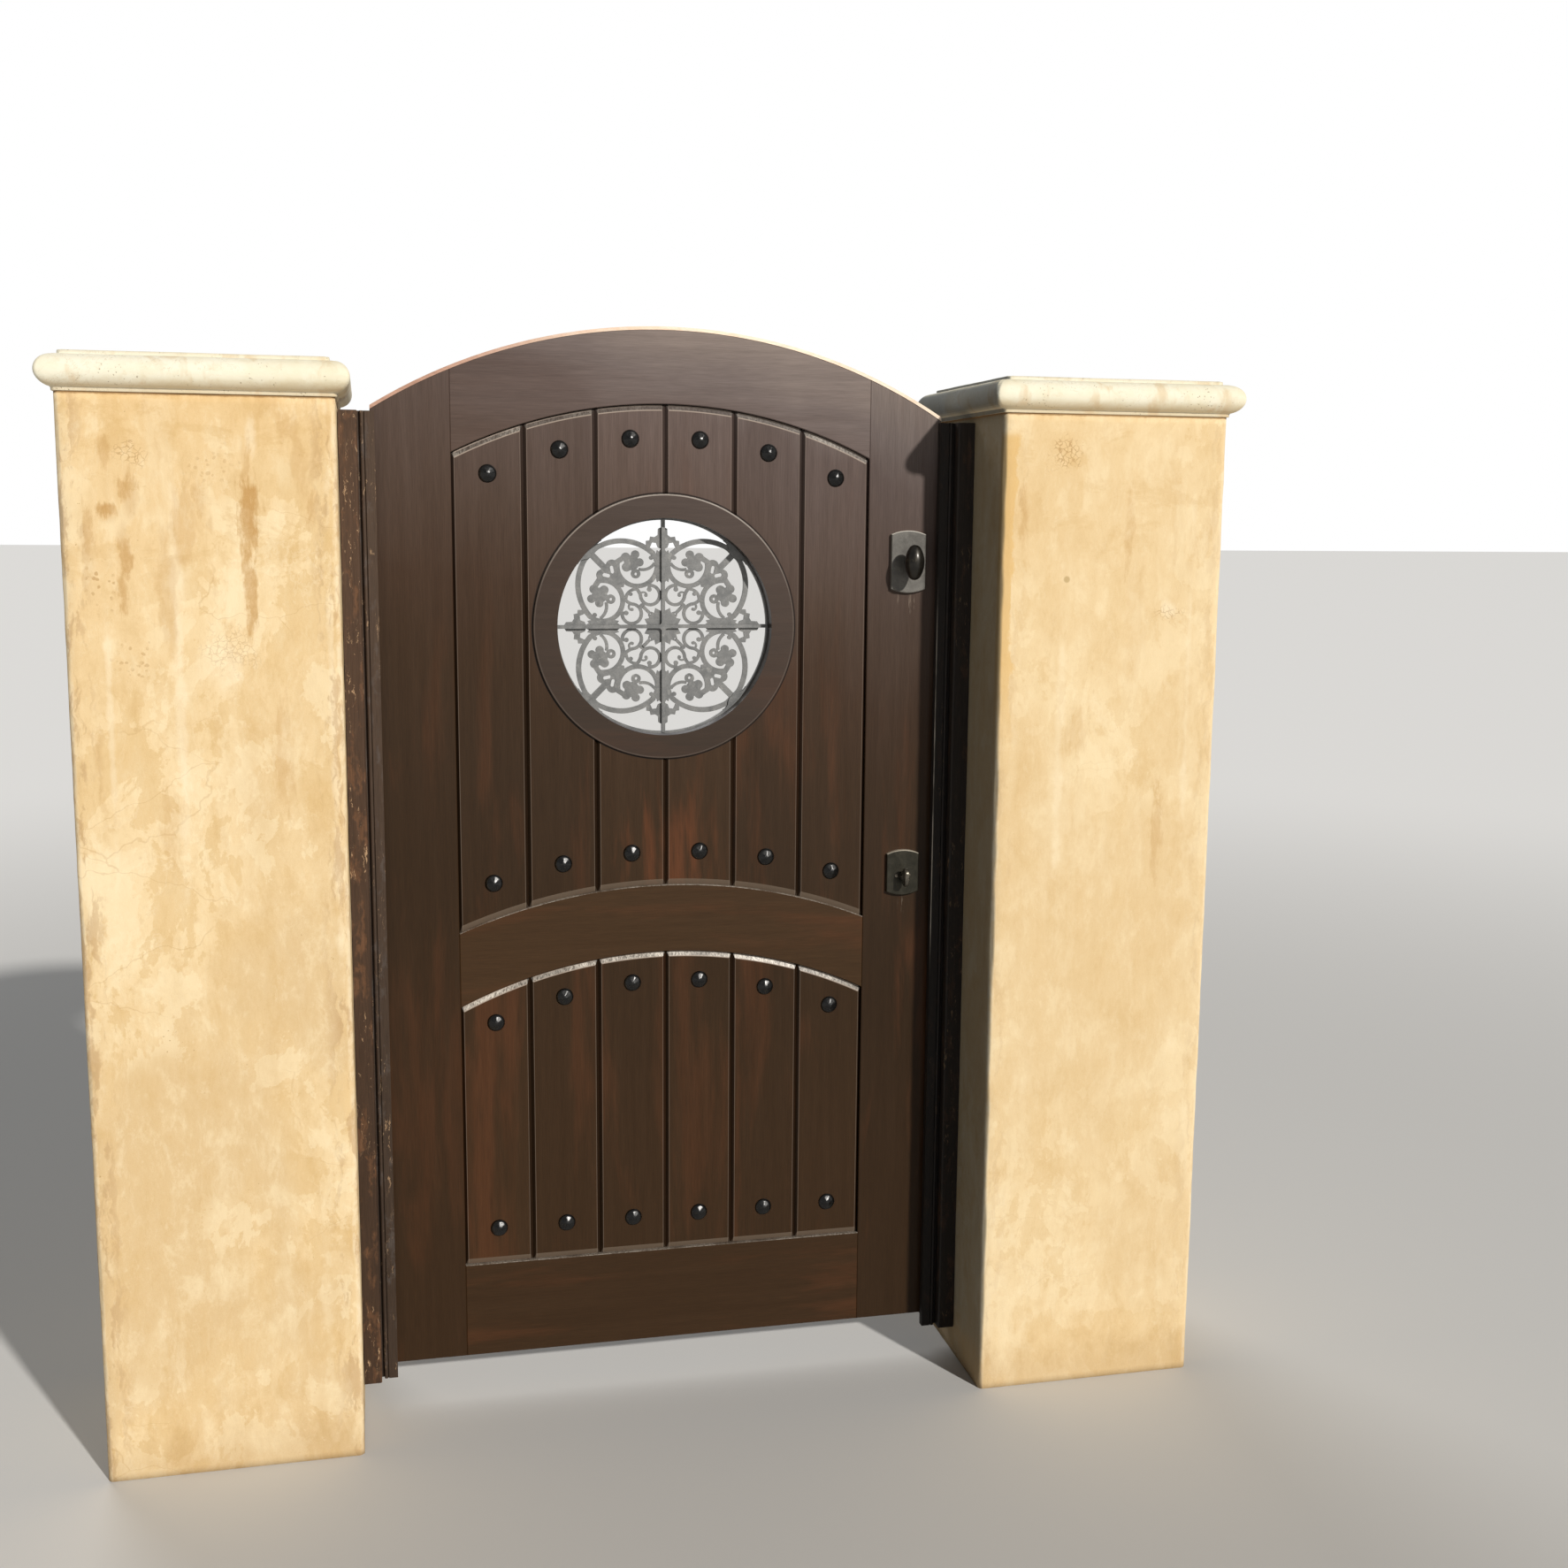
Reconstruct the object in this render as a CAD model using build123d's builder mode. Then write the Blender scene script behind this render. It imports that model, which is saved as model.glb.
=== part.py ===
from build123d import *
from math import asin, cos, sin, sqrt
import os

os.makedirs("parts", exist_ok=True)

# Arched garden gate between two stucco piers. All lengths are millimetres.
# X runs across the opening, Y away from the latch face towards the garden, Z up.
# The origin is on the ground, midway between the piers and midway through the leaf.

# Piers and caps
pier_width = 450
pier_depth = 450
pier_over_shoulder = 0.5
pier_corner_radius = 9
cap_overhang = 25
cap_neck_height = 6
cap_neck_proud = 3
cap_roll_height = 54
cap_table_height = 7
cap_table_draft = 12

# Leaf outline
leaf_width = 1082
leaf_thickness = 45
leaf_bottom = 77
crown_height = 1994
crown_radius = 1024
stile_width = 142.5
top_rail_width = 141
middle_rail_crown = 934.5
middle_rail_radius = 1032.5
middle_rail_width = 132.5
bottom_rail_height = 187.5
frame_edge_chamfer = 1.2

# Boards of the two panels
board_count = 6
board_front_recess = 5
board_back_recess = 9
board_groove_chamfer = 5.5
board_end_bevel_length = 11
board_end_bevel_depth = 4.5
bevel_cut_margin = 1

# Jambs and stops
leaf_gap = 6.5
jamb_thickness = 49.5
jamb_face_width = 33
jamb_front_lead = 39
jamb_foot_drop = 20
jamb_under_shoulder = 11.5
jamb_edge_radius = 4
stop_thickness = 16
stop_lap = 7.5
stop_flat_width = 17
stop_quirk_width = 1.5
stop_quirk_depth = 3
stop_bead_width = 7
stop_bead_rise = 0.8
stop_groove_depth = 8

# Copper strip over the arched top
copper_sheet = 2
copper_side_sheet = 1.2
copper_lip = 6

# Round window inside four boards, its height as a share of the free height between the rails
window_share = 0.6
window_joint_clearance = 13.2
window_ring_width = 46
window_ring_easing = 3

# Cast grille, its scrollwork drawn for an opening with a radius of pattern_radius
grille_back_inset = 3
grille_bar_depth = 12
grille_bar_width = 6.5
grille_crossing_radius = 6
grille_rim_depth = 10
grille_rim_width = 3.5
scroll_thickness = 5
bracket_thickness = 9
tab_thickness = 8
pattern_radius = 200

# Round nail heads
clavo_diameter = 34
clavo_height = 9
clavo_upper_top_inset = 62.5
clavo_upper_bottom_inset = 66
clavo_lower_top_inset = 59
clavo_lower_bottom_inset = 70.5

# Knob and thumbturn
backset = 63
knob_height = 1561
knob_plate_width = 70
knob_plate_height = 121
turn_height = 937
turn_plate_lift = 6
turn_plate_width = 66
turn_plate_height = 92
plate_rise = 7.5
plate_thickness = 9
plate_easing = 2
knob_reach = 48
knob_width = 38
knob_length = 68
knob_end_radius = 13
knob_neck_diameter = 18
turn_reach = 30
turn_width = 10
turn_length = 37
turn_depth = 24
turn_hub_diameter = 16
turn_easing = 3
spindle_diameter = 10
spindle_hole = 22
turning_clearance = 0.5

# Latch face plates and strikes
face_plate_width = 25
face_plate_height = 57
face_plate_thickness = 2
bolt_width = 14
bolt_height = 24
bolt_clearance = 0.3
bolt_length = 30
strike_pocket_depth = 18

# Butt hinges
hinge_end_inset = 220
hinge_length = 100
hinge_plate_thickness = 2.5
hinge_plate_depth = 32
knuckle_count = 5
knuckle_radius = 6
knuckle_stand_off = 6.5
knuckle_clearance = 0.4
pin_diameter = 6
pin_clearance = 0.25
pin_head_height = 4
pin_head_draft = 30

# Derived places
opening_width = leaf_width + 2 * (leaf_gap + jamb_thickness)
leaf_half = leaf_width / 2
leaf_front = -leaf_thickness / 2
leaf_back = leaf_thickness / 2
panel_half = leaf_half - stile_width
board_width = 2 * panel_half / board_count
window_ring_outer = 2 * (2 * board_width - window_joint_clearance)
opening_radius = window_ring_outer / 2 - window_ring_width
board_front = leaf_front + board_front_recess
board_back = leaf_back - board_back_recess
jamb_inner = leaf_half + leaf_gap
jamb_shoulder = opening_width / 2 - jamb_face_width
jamb_front = leaf_front - jamb_front_lead
jamb_bottom = leaf_bottom - jamb_foot_drop
stop_back = leaf_front - leaf_gap
stop_inner = leaf_half - stop_lap
pier_centre = opening_width / 2 + pier_width / 2
lock_x = leaf_half - backset
knob_z = leaf_bottom + knob_height
turn_z = leaf_bottom + turn_height
hinge_axis_x = -(leaf_half + leaf_gap / 2)
hinge_axis_y = leaf_back + knuckle_stand_off
grille_back = leaf_back - grille_back_inset
pattern_scale = opening_radius / pattern_radius


class Level:
    """A straight level edge of a rail."""

    def __init__(self, height):
        self.height = height

    def at(self, x):
        return self.height

    def draw(self, x_from, x_to):
        Line((x_from, self.height), (x_to, self.height))

    def run(self, profile):
        """The profile drawn at the middle line, run along the edge."""
        return extrude(profile, amount=leaf_half, both=True, mode=Mode.PRIVATE)


class Arch:
    """An arched edge of a rail, an arc centred on the leaf's middle line."""

    def __init__(self, crown, radius):
        self.centre = crown - radius
        self.radius = radius

    def at(self, x):
        return self.centre + sqrt(self.radius**2 - x**2)

    def draw(self, x_from, x_to):
        x_mid = (x_from + x_to) / 2
        ThreePointArc((x_from, self.at(x_from)), (x_mid, self.at(x_mid)), (x_to, self.at(x_to)))

    def run(self, profile):
        """The profile drawn at the middle line, run along the edge."""
        return revolve(profile, axis=Axis((0, 0, self.centre), (0, 1, 0)), mode=Mode.PRIVATE)

    def inset(self, distance):
        return Arch(self.centre + self.radius - distance, self.radius - distance)


copper_edge = Arch(leaf_bottom + crown_height, crown_radius)
leaf_edge = copper_edge.inset(copper_sheet)
top_rail_edge = copper_edge.inset(top_rail_width)
middle_top_edge = Arch(leaf_bottom + middle_rail_crown, middle_rail_radius)
middle_bottom_edge = middle_top_edge.inset(middle_rail_width)
bottom_rail_edge = Level(leaf_bottom + bottom_rail_height)
leaf_bottom_edge = Level(leaf_bottom)

shoulder_z = copper_edge.at(leaf_half)
pier_height = shoulder_z + pier_over_shoulder
jamb_top = shoulder_z - jamb_under_shoulder
free_height = top_rail_edge.at(0) - middle_top_edge.at(0) - window_ring_outer
window_z = middle_top_edge.at(0) + window_share * free_height + window_ring_outer / 2
lower_hinge_z = leaf_bottom + hinge_end_inset
upper_hinge_z = shoulder_z - hinge_end_inset
hinge_heights = (lower_hinge_z, (lower_hinge_z + upper_hinge_z) / 2, upper_hinge_z)


def save(piece, name):
    piece.part.label = name
    export_step(piece.part, f"parts/{name}.step")


def facing_plane(y):
    """The upright plane at depth y, seen from the front, with X across and Z up."""
    return Plane.XZ.offset(-y)


def outline(y, x_from, x_to, lower, upper):
    """The face at depth y between two uprights, closed by a lower and an upper edge."""
    with BuildSketch(facing_plane(y)) as face:
        with BuildLine():
            lower.draw(x_from, x_to)
            Line((x_to, lower.at(x_to)), (x_to, upper.at(x_to)))
            upper.draw(x_to, x_from)
            Line((x_from, upper.at(x_from)), (x_from, lower.at(x_from)))
        make_face()
    return face.sketch


def front_and_back_edges(piece):
    """The outlines of a flat piece's front and back faces."""
    faces = piece.faces().filter_by(Axis.Y)
    return ShapeList(edge for face in faces for edge in face.edges())


def make_frame_member(x_from, x_to, lower, upper):
    with BuildPart() as member:
        extrude(outline(leaf_back, x_from, x_to, lower, upper), amount=leaf_thickness)
        chamfer(front_and_back_edges(member), frame_edge_chamfer)
    return member


def end_bevel(face_y, outward, edge, toward):
    """The wedge cut off a board's end, on its face at face_y, where it meets a rail's edge.

    outward is the face's direction along Y, and toward the end's direction along Z.
    """
    end_z = edge.at(0)
    slope = board_end_bevel_length / board_end_bevel_depth
    reach = toward * (board_end_bevel_length + slope * bevel_cut_margin)
    beyond = bevel_cut_margin * slope
    with BuildSketch(Plane.YZ) as profile:
        with BuildLine():
            Polyline(
                (face_y + outward * bevel_cut_margin, end_z - reach),
                (face_y + outward * bevel_cut_margin, end_z + toward * beyond),
                (face_y - outward * (board_end_bevel_depth + bevel_cut_margin), end_z + toward * beyond),
                close=True,
            )
        make_face()
    return edge.run(profile.sketch)


def make_board(index, lower, upper):
    x_from = -panel_half + index * board_width
    with BuildPart() as board:
        face = outline(board_back, x_from, x_from + board_width, lower, upper)
        extrude(face, amount=board_back - board_front)
        chamfer(front_and_back_edges(board).filter_by(Axis.Z), board_groove_chamfer)
        for face_y, outward in ((board_front, -1), (board_back, 1)):
            for edge, toward in ((lower, -1), (upper, 1)):
                add(end_bevel(face_y, outward, edge, toward), mode=Mode.SUBTRACT)
    return board


# Piers with rounded corners, and caps with a half-round edge
for side, sign in (("left", -1), ("right", 1)):
    with BuildPart() as pier:
        with BuildSketch():
            with Locations((sign * pier_centre, 0)):
                RectangleRounded(pier_width, pier_depth, pier_corner_radius)
        extrude(amount=pier_height)
    save(pier, f"{side}_pier")

    cap_width = pier_width + 2 * cap_overhang
    cap_depth = pier_depth + 2 * cap_overhang
    roll_middle = pier_height + cap_neck_height + cap_roll_height / 2
    with BuildPart() as cap:
        with BuildSketch(Plane.YZ.offset(sign * pier_centre)):
            with Locations((0, roll_middle)):
                SlotOverall(cap_depth, cap_roll_height)
        extrude(amount=cap_width / 2, both=True)
        with BuildSketch(Plane.XZ):
            with Locations((sign * pier_centre, roll_middle)):
                SlotOverall(cap_width, cap_roll_height)
        extrude(amount=cap_depth / 2, both=True, mode=Mode.INTERSECT)
        with BuildSketch(Plane.XY.offset(pier_height)):
            with Locations((sign * pier_centre, 0)):
                Rectangle(pier_width + 2 * cap_neck_proud, pier_depth + 2 * cap_neck_proud)
        extrude(amount=cap_neck_height + cap_roll_height / 2)
        with BuildSketch(Plane.XY.offset(roll_middle)):
            with Locations((sign * pier_centre, 0)):
                Rectangle(cap_width - cap_roll_height, cap_depth - cap_roll_height)
        extrude(amount=cap_roll_height / 2 + cap_table_height, taper=cap_table_draft)
    save(cap, f"{side}_pier_cap")

# Rebated jambs against the piers, with the lock side cut for its two strikes
for side, sign in (("left", -1), ("right", 1)):
    with BuildPart() as jamb:
        with BuildSketch(Plane.XY.offset(jamb_bottom)):
            with BuildLine():
                Polyline(
                    (sign * opening_width / 2, jamb_front),
                    (sign * jamb_shoulder, jamb_front),
                    (sign * jamb_shoulder, stop_back),
                    (sign * jamb_inner, stop_back),
                    (sign * jamb_inner, leaf_back),
                    (sign * opening_width / 2, leaf_back),
                    close=True,
                )
            make_face()
        extrude(amount=jamb_top - jamb_bottom)
        lead_edges = jamb.edges().filter_by(Axis.Z).group_by(Axis.Y)[0]
        fillet(lead_edges.sort_by(Axis.X)[0 if sign > 0 else -1], jamb_edge_radius)
        if side == "right":
            with BuildSketch(Plane.YZ.offset(jamb_inner)):
                with Locations((0, knob_z), (0, turn_z)):
                    Rectangle(face_plate_width, face_plate_height)
            extrude(amount=face_plate_thickness, mode=Mode.SUBTRACT)
            with BuildSketch(Plane.YZ.offset(jamb_inner)):
                with Locations((0, knob_z), (0, turn_z)):
                    Rectangle(bolt_width, bolt_height)
            extrude(amount=strike_pocket_depth, mode=Mode.SUBTRACT)
    save(jamb, f"{side}_jamb")

    # Moulded stop: a flat lapping the leaf, then a quirked bead and a groove
    flat_end = stop_inner + stop_flat_width
    bead_start = flat_end + stop_quirk_width
    bead_end = bead_start + stop_bead_width
    stop_front = stop_back - stop_thickness
    with BuildPart() as stop:
        with BuildSketch(Plane.XY.offset(jamb_bottom)):
            with BuildLine():
                Polyline(
                    (sign * bead_start, stop_front + stop_quirk_depth),
                    (sign * flat_end, stop_front + stop_quirk_depth),
                    (sign * flat_end, stop_front),
                    (sign * stop_inner, stop_front),
                    (sign * stop_inner, stop_back),
                    (sign * jamb_shoulder, stop_back),
                    (sign * jamb_shoulder, stop_front + stop_groove_depth),
                    (sign * bead_end, stop_front + stop_groove_depth),
                    (sign * bead_end, stop_front + stop_quirk_depth),
                )
                ThreePointArc(
                    (sign * bead_end, stop_front + stop_quirk_depth),
                    (sign * (bead_start + bead_end) / 2, stop_front - stop_bead_rise),
                    (sign * bead_start, stop_front + stop_quirk_depth),
                )
            make_face()
        extrude(amount=jamb_top - jamb_bottom)
    save(stop, f"{side}_stop")

# Frame of the leaf
hinge_stile = make_frame_member(-leaf_half, -panel_half, leaf_bottom_edge, leaf_edge)
save(hinge_stile, "hinge_stile")

with BuildPart() as latch_stile:
    add(make_frame_member(panel_half, leaf_half, leaf_bottom_edge, leaf_edge).part)
    with BuildSketch(facing_plane(leaf_back)):
        with Locations((lock_x, knob_z), (lock_x, turn_z)):
            Circle(spindle_hole / 2)
    extrude(amount=leaf_thickness, mode=Mode.SUBTRACT)
    with BuildSketch(Plane.YZ.offset(leaf_half)):
        with Locations((0, knob_z), (0, turn_z)):
            Rectangle(face_plate_width, face_plate_height)
    extrude(amount=-face_plate_thickness, mode=Mode.SUBTRACT)
    with BuildSketch(Plane.YZ.offset(leaf_half)):
        with Locations((0, knob_z), (0, turn_z)):
            Rectangle(bolt_width, bolt_height)
    extrude(amount=-bolt_length, mode=Mode.SUBTRACT)
save(latch_stile, "latch_stile")

top_rail = make_frame_member(-panel_half, panel_half, top_rail_edge, leaf_edge)
save(top_rail, "top_rail")

middle_rail = make_frame_member(-panel_half, panel_half, middle_bottom_edge, middle_top_edge)
save(middle_rail, "middle_rail")

bottom_rail = make_frame_member(-panel_half, panel_half, leaf_bottom_edge, bottom_rail_edge)
save(bottom_rail, "bottom_rail")

# Boards of the upper panel, the middle four cut round for the window ring
for index in range(board_count):
    with BuildPart() as board:
        add(make_board(index, middle_top_edge, top_rail_edge).part)
        with BuildSketch(facing_plane(leaf_back)):
            with Locations((0, window_z)):
                Circle(window_ring_outer / 2)
        extrude(amount=leaf_thickness, mode=Mode.SUBTRACT)
    save(board, f"upper_board_{index + 1}")

# Boards of the lower panel
for index in range(board_count):
    board = make_board(index, bottom_rail_edge, middle_bottom_edge)
    save(board, f"lower_board_{index + 1}")

# Copper strip folded over the arched top edge
with BuildPart() as copper_strip:
    outer_depth = leaf_back + copper_side_sheet
    fold = outline(outer_depth, -leaf_half, leaf_half, copper_edge.inset(copper_lip), copper_edge)
    extrude(fold, amount=2 * outer_depth)
    wood = outline(leaf_back, -leaf_half, leaf_half, copper_edge.inset(2 * copper_lip), leaf_edge)
    extrude(wood, amount=leaf_thickness, mode=Mode.SUBTRACT)
save(copper_strip, "copper_strip")

# Round wooden frame of the window
with BuildPart() as window_ring:
    with BuildSketch(facing_plane(leaf_back)):
        with Locations((0, window_z)):
            Circle(window_ring_outer / 2)
            Circle(opening_radius, mode=Mode.SUBTRACT)
    extrude(amount=leaf_thickness)
    outer_rims = window_ring.edges().filter_by(GeomType.CIRCLE).group_by(SortBy.RADIUS)[-1]
    fillet(outer_rims, window_ring_easing)
save(window_ring, "window_ring")


def arc_band(start, through, end, width):
    """A stroke of even width along an arc through three points."""
    with BuildSketch() as band:
        with BuildLine():
            ThreePointArc(start, through, end)
        trace(line_width=width)
    return band.sketch


def ring_band(centre, radius, start_angle, sweep, width):
    """A stroke of even width round part of a circle."""
    with BuildSketch() as band:
        with BuildLine():
            CenterArc(centre, radius, start_angle, sweep)
        trace(line_width=width)
    return band.sketch


def straight_band(start, end, width):
    """A stroke of even width between two points."""
    with BuildSketch() as band:
        with BuildLine():
            Line(start, end)
        trace(line_width=width)
    return band.sketch


def beads(radius, *places):
    """Discs of one radius."""
    with BuildSketch() as discs:
        with Locations(*places):
            Circle(radius)
    return discs.sketch


def toothed(*corners):
    """A leaf with straight-cut teeth."""
    with BuildSketch() as leaf:
        with BuildLine():
            Polyline(*corners, close=True)
        make_face()
    return leaf.sketch


# Scrollwork motifs, seen from the front with the window's centre at the origin.
# Each lies between the level bar and the diagonal of one quarter of the window.
def small_scroll():
    with BuildSketch() as scroll:
        add(ring_band((58, 23.5), 18, 88, 276, 6))
        add(straight_band((69, 25), (77, 24.5), 6))
        add(beads(4.2, (68.5, 25)))
        add(arc_band((60, 42), (63.2, 34.5), (58.5, 30), 3.6))
        add(beads(3, (57.5, 31.5)))
        add(arc_band((57, 41.5), (65, 45), (72, 52), 6))
        add(arc_band((69, 50), (63.5, 63.5), (50, 69), 5.5))
        add(beads(3.6, (60, 60)))
    return scroll.sketch


def large_scroll():
    with BuildSketch() as scroll:
        add(ring_band((112, 47.5), 37.25, 79, 228, 8.5))
        add(beads(4, (127, 21.5)))
        add(toothed(
            (79, 2), (85, 6.5), (82, 10.5), (92, 12.5), (112, 11),
            (132, 12.5), (141, 10.5), (138, 6.5), (146, 2),
        ))
    return scroll.sketch


def flower():
    with BuildSketch() as bloom:
        add(arc_band((117, 15), (107, 27), (106, 45), 5.5))
        add(beads(8.8, (97.5, 50.6)))
        add(beads(7.6, (118.4, 43.3), (133, 51.3)))
        add(beads(8.3, (128, 69), (109.6, 67.5)))
        add(beads(14, (117.7, 57.8)))
        add(straight_band((129, 70), (118, 87), 9.5))
        add(beads(2.6, (97, 50.4)), mode=Mode.SUBTRACT)
    return bloom.sketch


def outer_bow():
    with BuildSketch() as bow:
        add(arc_band((134, 17), (157, 66), (150, 113), 9.5))
        add(arc_band((150.2, 112), (145.5, 122), (136, 131.5), 9))
    return bow.sketch


def bar_end_leaf():
    return toothed(
        (143, 2), (184, 2), (180, 8.5), (169, 9), (165, 15), (166, 23), (159, 24.5),
        (158, 31), (150, 31), (146, 24), (155, 20), (154, 12), (146, 9),
    )


def clover():
    with BuildSketch() as lobe:
        add(beads(11, (112.5, 94.8)))
        add(toothed((73, 73), (79, 72), (100, 82), (119, 86), (116, 103), (109, 109)))
        with Locations(Location((105, 94.5), 12)):
            SlotOverall(14.5, 6.5, mode=Mode.SUBTRACT)
    return lobe.sketch


def palmette():
    with BuildSketch() as leaf:
        add(toothed((0, 0), (28, 2), (34, 13.6), (25, 15.5), (27.5, 22), (22, 22)))
        add(straight_band((24, 24), (38, 38), 5.5))
        add(beads(4.5, (38.5, 38.5)))
    return leaf.sketch


def strut():
    return straight_band((104, 104), (133, 133), 11.5)


def tab():
    return straight_band((24, 24), (37, 37), 5.5)


def bracket():
    """Half of the brace-shaped bracket over the meeting ends of the outer bows."""
    with BuildSketch() as brace:
        with BuildLine():
            ThreePointArc((131.2, 131.2), (137.3, 126.2), (146.5, 124))
            ThreePointArc((146.5, 124), (153.3, 120.6), (158, 114.5))
            Polyline((158, 114.5), (175, 116.5), (150, 150), (131.2, 131.2))
        make_face()
        Circle(pattern_radius - grille_rim_width / 2, mode=Mode.INTERSECT)
    return brace.sketch


def all_round(*motifs):
    """Motifs mirrored over the diagonal and then into all four quarters, at full size."""
    with BuildSketch() as pattern:
        for motif in motifs:
            add(motif)
        mirror(about=Plane(origin=(0, 0, 0), z_dir=(1, -1, 0)))
        mirror(about=Plane.YZ)
        mirror(about=Plane.XZ)
        scale(by=pattern_scale)
    return pattern.sketch


# Cast grille let into the window: a rim and cross bars, and flat scrollwork behind them
with BuildPart() as window_grille:
    with BuildSketch(facing_plane(grille_back)):
        with Locations((0, window_z)):
            Circle(opening_radius)
            Circle(opening_radius - grille_rim_width, mode=Mode.SUBTRACT)
    extrude(amount=grille_rim_depth)
    with BuildSketch(facing_plane(grille_back)) as cross:
        with Locations((0, window_z)):
            Rectangle(2 * opening_radius - grille_rim_width, grille_bar_width)
            Rectangle(grille_bar_width, 2 * opening_radius - grille_rim_width)
        crossing = cross.vertices().sort_by_distance((0, window_z))[:4]
        fillet(crossing, grille_crossing_radius)
    extrude(amount=grille_bar_depth)
    scrollwork = all_round(
        small_scroll(), large_scroll(), flower(), outer_bow(),
        bar_end_leaf(), clover(), palmette(), strut(),
    )
    for motifs, thickness in (
        (scrollwork, scroll_thickness),
        (all_round(bracket()), bracket_thickness),
        (all_round(tab()), tab_thickness),
    ):
        with BuildSketch(facing_plane(grille_back)):
            with Locations((0, window_z)):
                add(motifs)
        extrude(amount=thickness)
save(window_grille, "window_grille")


def make_clavos(rows):
    """Domed nail heads, one on each board of each row, seated on the boards."""
    with BuildPart() as clavos:
        for row in rows:
            for index in range(board_count):
                x = -panel_half + (index + 0.5) * board_width
                z = row.at(x)
                with BuildSketch(Plane.XY.offset(z)):
                    with BuildLine():
                        crown = (x, board_front - clavo_height)
                        rim = (x + clavo_diameter / 2, board_front)
                        Line((x, board_front), rim)
                        Line(crown, (x, board_front))
                        TangentArc(crown, rim, tangent=(1, 0))
                    make_face()
                revolve(axis=Axis((x, board_front, z), (0, 1, 0)))
    return clavos


upper_clavos = make_clavos((
    top_rail_edge.inset(clavo_upper_top_inset),
    middle_top_edge.inset(-clavo_upper_bottom_inset),
))
save(upper_clavos, "upper_clavos")

lower_clavos = make_clavos((
    middle_bottom_edge.inset(clavo_lower_top_inset),
    Level(bottom_rail_edge.height + clavo_lower_bottom_inset),
))
save(lower_clavos, "lower_clavos")


def make_plate(width, height, z, bore_z, bore, y_seat, outward):
    """A lock plate with arched ends, seated at y_seat and standing outward from it."""
    corner = height / 2 - plate_rise
    with BuildPart() as plate:
        with BuildSketch(facing_plane(y_seat)):
            with BuildLine():
                x_left = lock_x - width / 2
                x_right = lock_x + width / 2
                ThreePointArc((x_left, z + corner), (lock_x, z + height / 2), (x_right, z + corner))
                Line((x_right, z + corner), (x_right, z - corner))
                ThreePointArc((x_right, z - corner), (lock_x, z - height / 2), (x_left, z - corner))
                Line((x_left, z - corner), (x_left, z + corner))
            make_face()
        extrude(amount=-outward * plate_thickness)
        outer_face = plate.faces().filter_by(Axis.Y).sort_by(Axis.Y)[0 if outward < 0 else -1]
        fillet(outer_face.edges(), plate_easing)
        with BuildSketch(facing_plane(y_seat)):
            with Locations((lock_x, bore_z)):
                Circle(bore / 2 + turning_clearance)
        extrude(amount=-outward * plate_thickness, mode=Mode.SUBTRACT)
    return plate


for face, y_seat, outward in (("front", leaf_front, -1), ("back", leaf_back, 1)):
    knob_plate = make_plate(
        knob_plate_width, knob_plate_height, knob_z, knob_z, knob_neck_diameter, y_seat, outward
    )
    save(knob_plate, f"{face}_knob_plate")
    turn_plate_z = turn_z + turn_plate_lift
    turn_plate = make_plate(
        turn_plate_width, turn_plate_height, turn_plate_z, turn_z, turn_hub_diameter, y_seat, outward
    )
    save(turn_plate, f"{face}_turn_plate")

# Egg-shaped knobs on both faces, on one spindle through the latch stile.
# The egg's half outline is a flat side arc that runs tangent into two tighter end arcs.
half_length = knob_length / 2
half_width = knob_width / 2
side_radius = (half_length**2 + half_width**2 - 2 * half_length * knob_end_radius) / (
    2 * (half_width - knob_end_radius)
)
lean = asin((half_length - knob_end_radius) / (side_radius - knob_end_radius))
knob_join_x = knob_end_radius * cos(lean)
knob_join_z = side_radius * sin(lean)
with BuildPart() as knob:
    with BuildSketch(facing_plane(leaf_back + knob_reach)):
        with Locations((lock_x, knob_z)):
            Circle(spindle_diameter / 2)
    extrude(amount=leaf_thickness + 2 * knob_reach)
    for outward in (-1, 1):
        y_seat = outward * leaf_thickness / 2
        y_knob = y_seat + outward * knob_reach
        with BuildSketch(facing_plane(y_seat)):
            with Locations((lock_x, knob_z)):
                Circle(knob_neck_diameter / 2)
        extrude(amount=-outward * knob_reach)
        with BuildSketch(facing_plane(y_knob)):
            with BuildLine():
                top = (lock_x, knob_z + knob_length / 2)
                foot = (lock_x, knob_z - knob_length / 2)
                upper_join = (lock_x + knob_join_x, knob_z + knob_join_z)
                lower_join = (lock_x + knob_join_x, knob_z - knob_join_z)
                TangentArc(top, upper_join, tangent=(1, 0))
                ThreePointArc(upper_join, (lock_x + knob_width / 2, knob_z), lower_join)
                TangentArc(foot, lower_join, tangent=(1, 0))
                Line(foot, top)
            make_face()
        revolve(axis=Axis((lock_x, y_knob, knob_z), (0, 0, 1)))
save(knob, "knob")

# Oval thumbturns with eased edges on both faces, on one spindle
with BuildPart() as thumbturn:
    for outward in (-1, 1):
        with BuildSketch(Plane.YZ.offset(lock_x)):
            with Locations((outward * (leaf_thickness / 2 + turn_reach), turn_z)):
                SlotOverall(turn_length, turn_depth, rotation=90)
        extrude(amount=turn_width / 2, both=True)
    flat_sides = thumbturn.faces().filter_by(Axis.X)
    fillet(ShapeList(edge for side in flat_sides for edge in side.edges()), turn_easing)
    with BuildSketch(facing_plane(leaf_back + turn_reach)):
        with Locations((lock_x, turn_z)):
            Circle(spindle_diameter / 2)
    extrude(amount=leaf_thickness + 2 * turn_reach)
    for outward in (-1, 1):
        with BuildSketch(facing_plane(outward * leaf_thickness / 2)):
            with Locations((lock_x, turn_z)):
                Circle(turn_hub_diameter / 2)
        extrude(amount=-outward * turn_reach)
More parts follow.
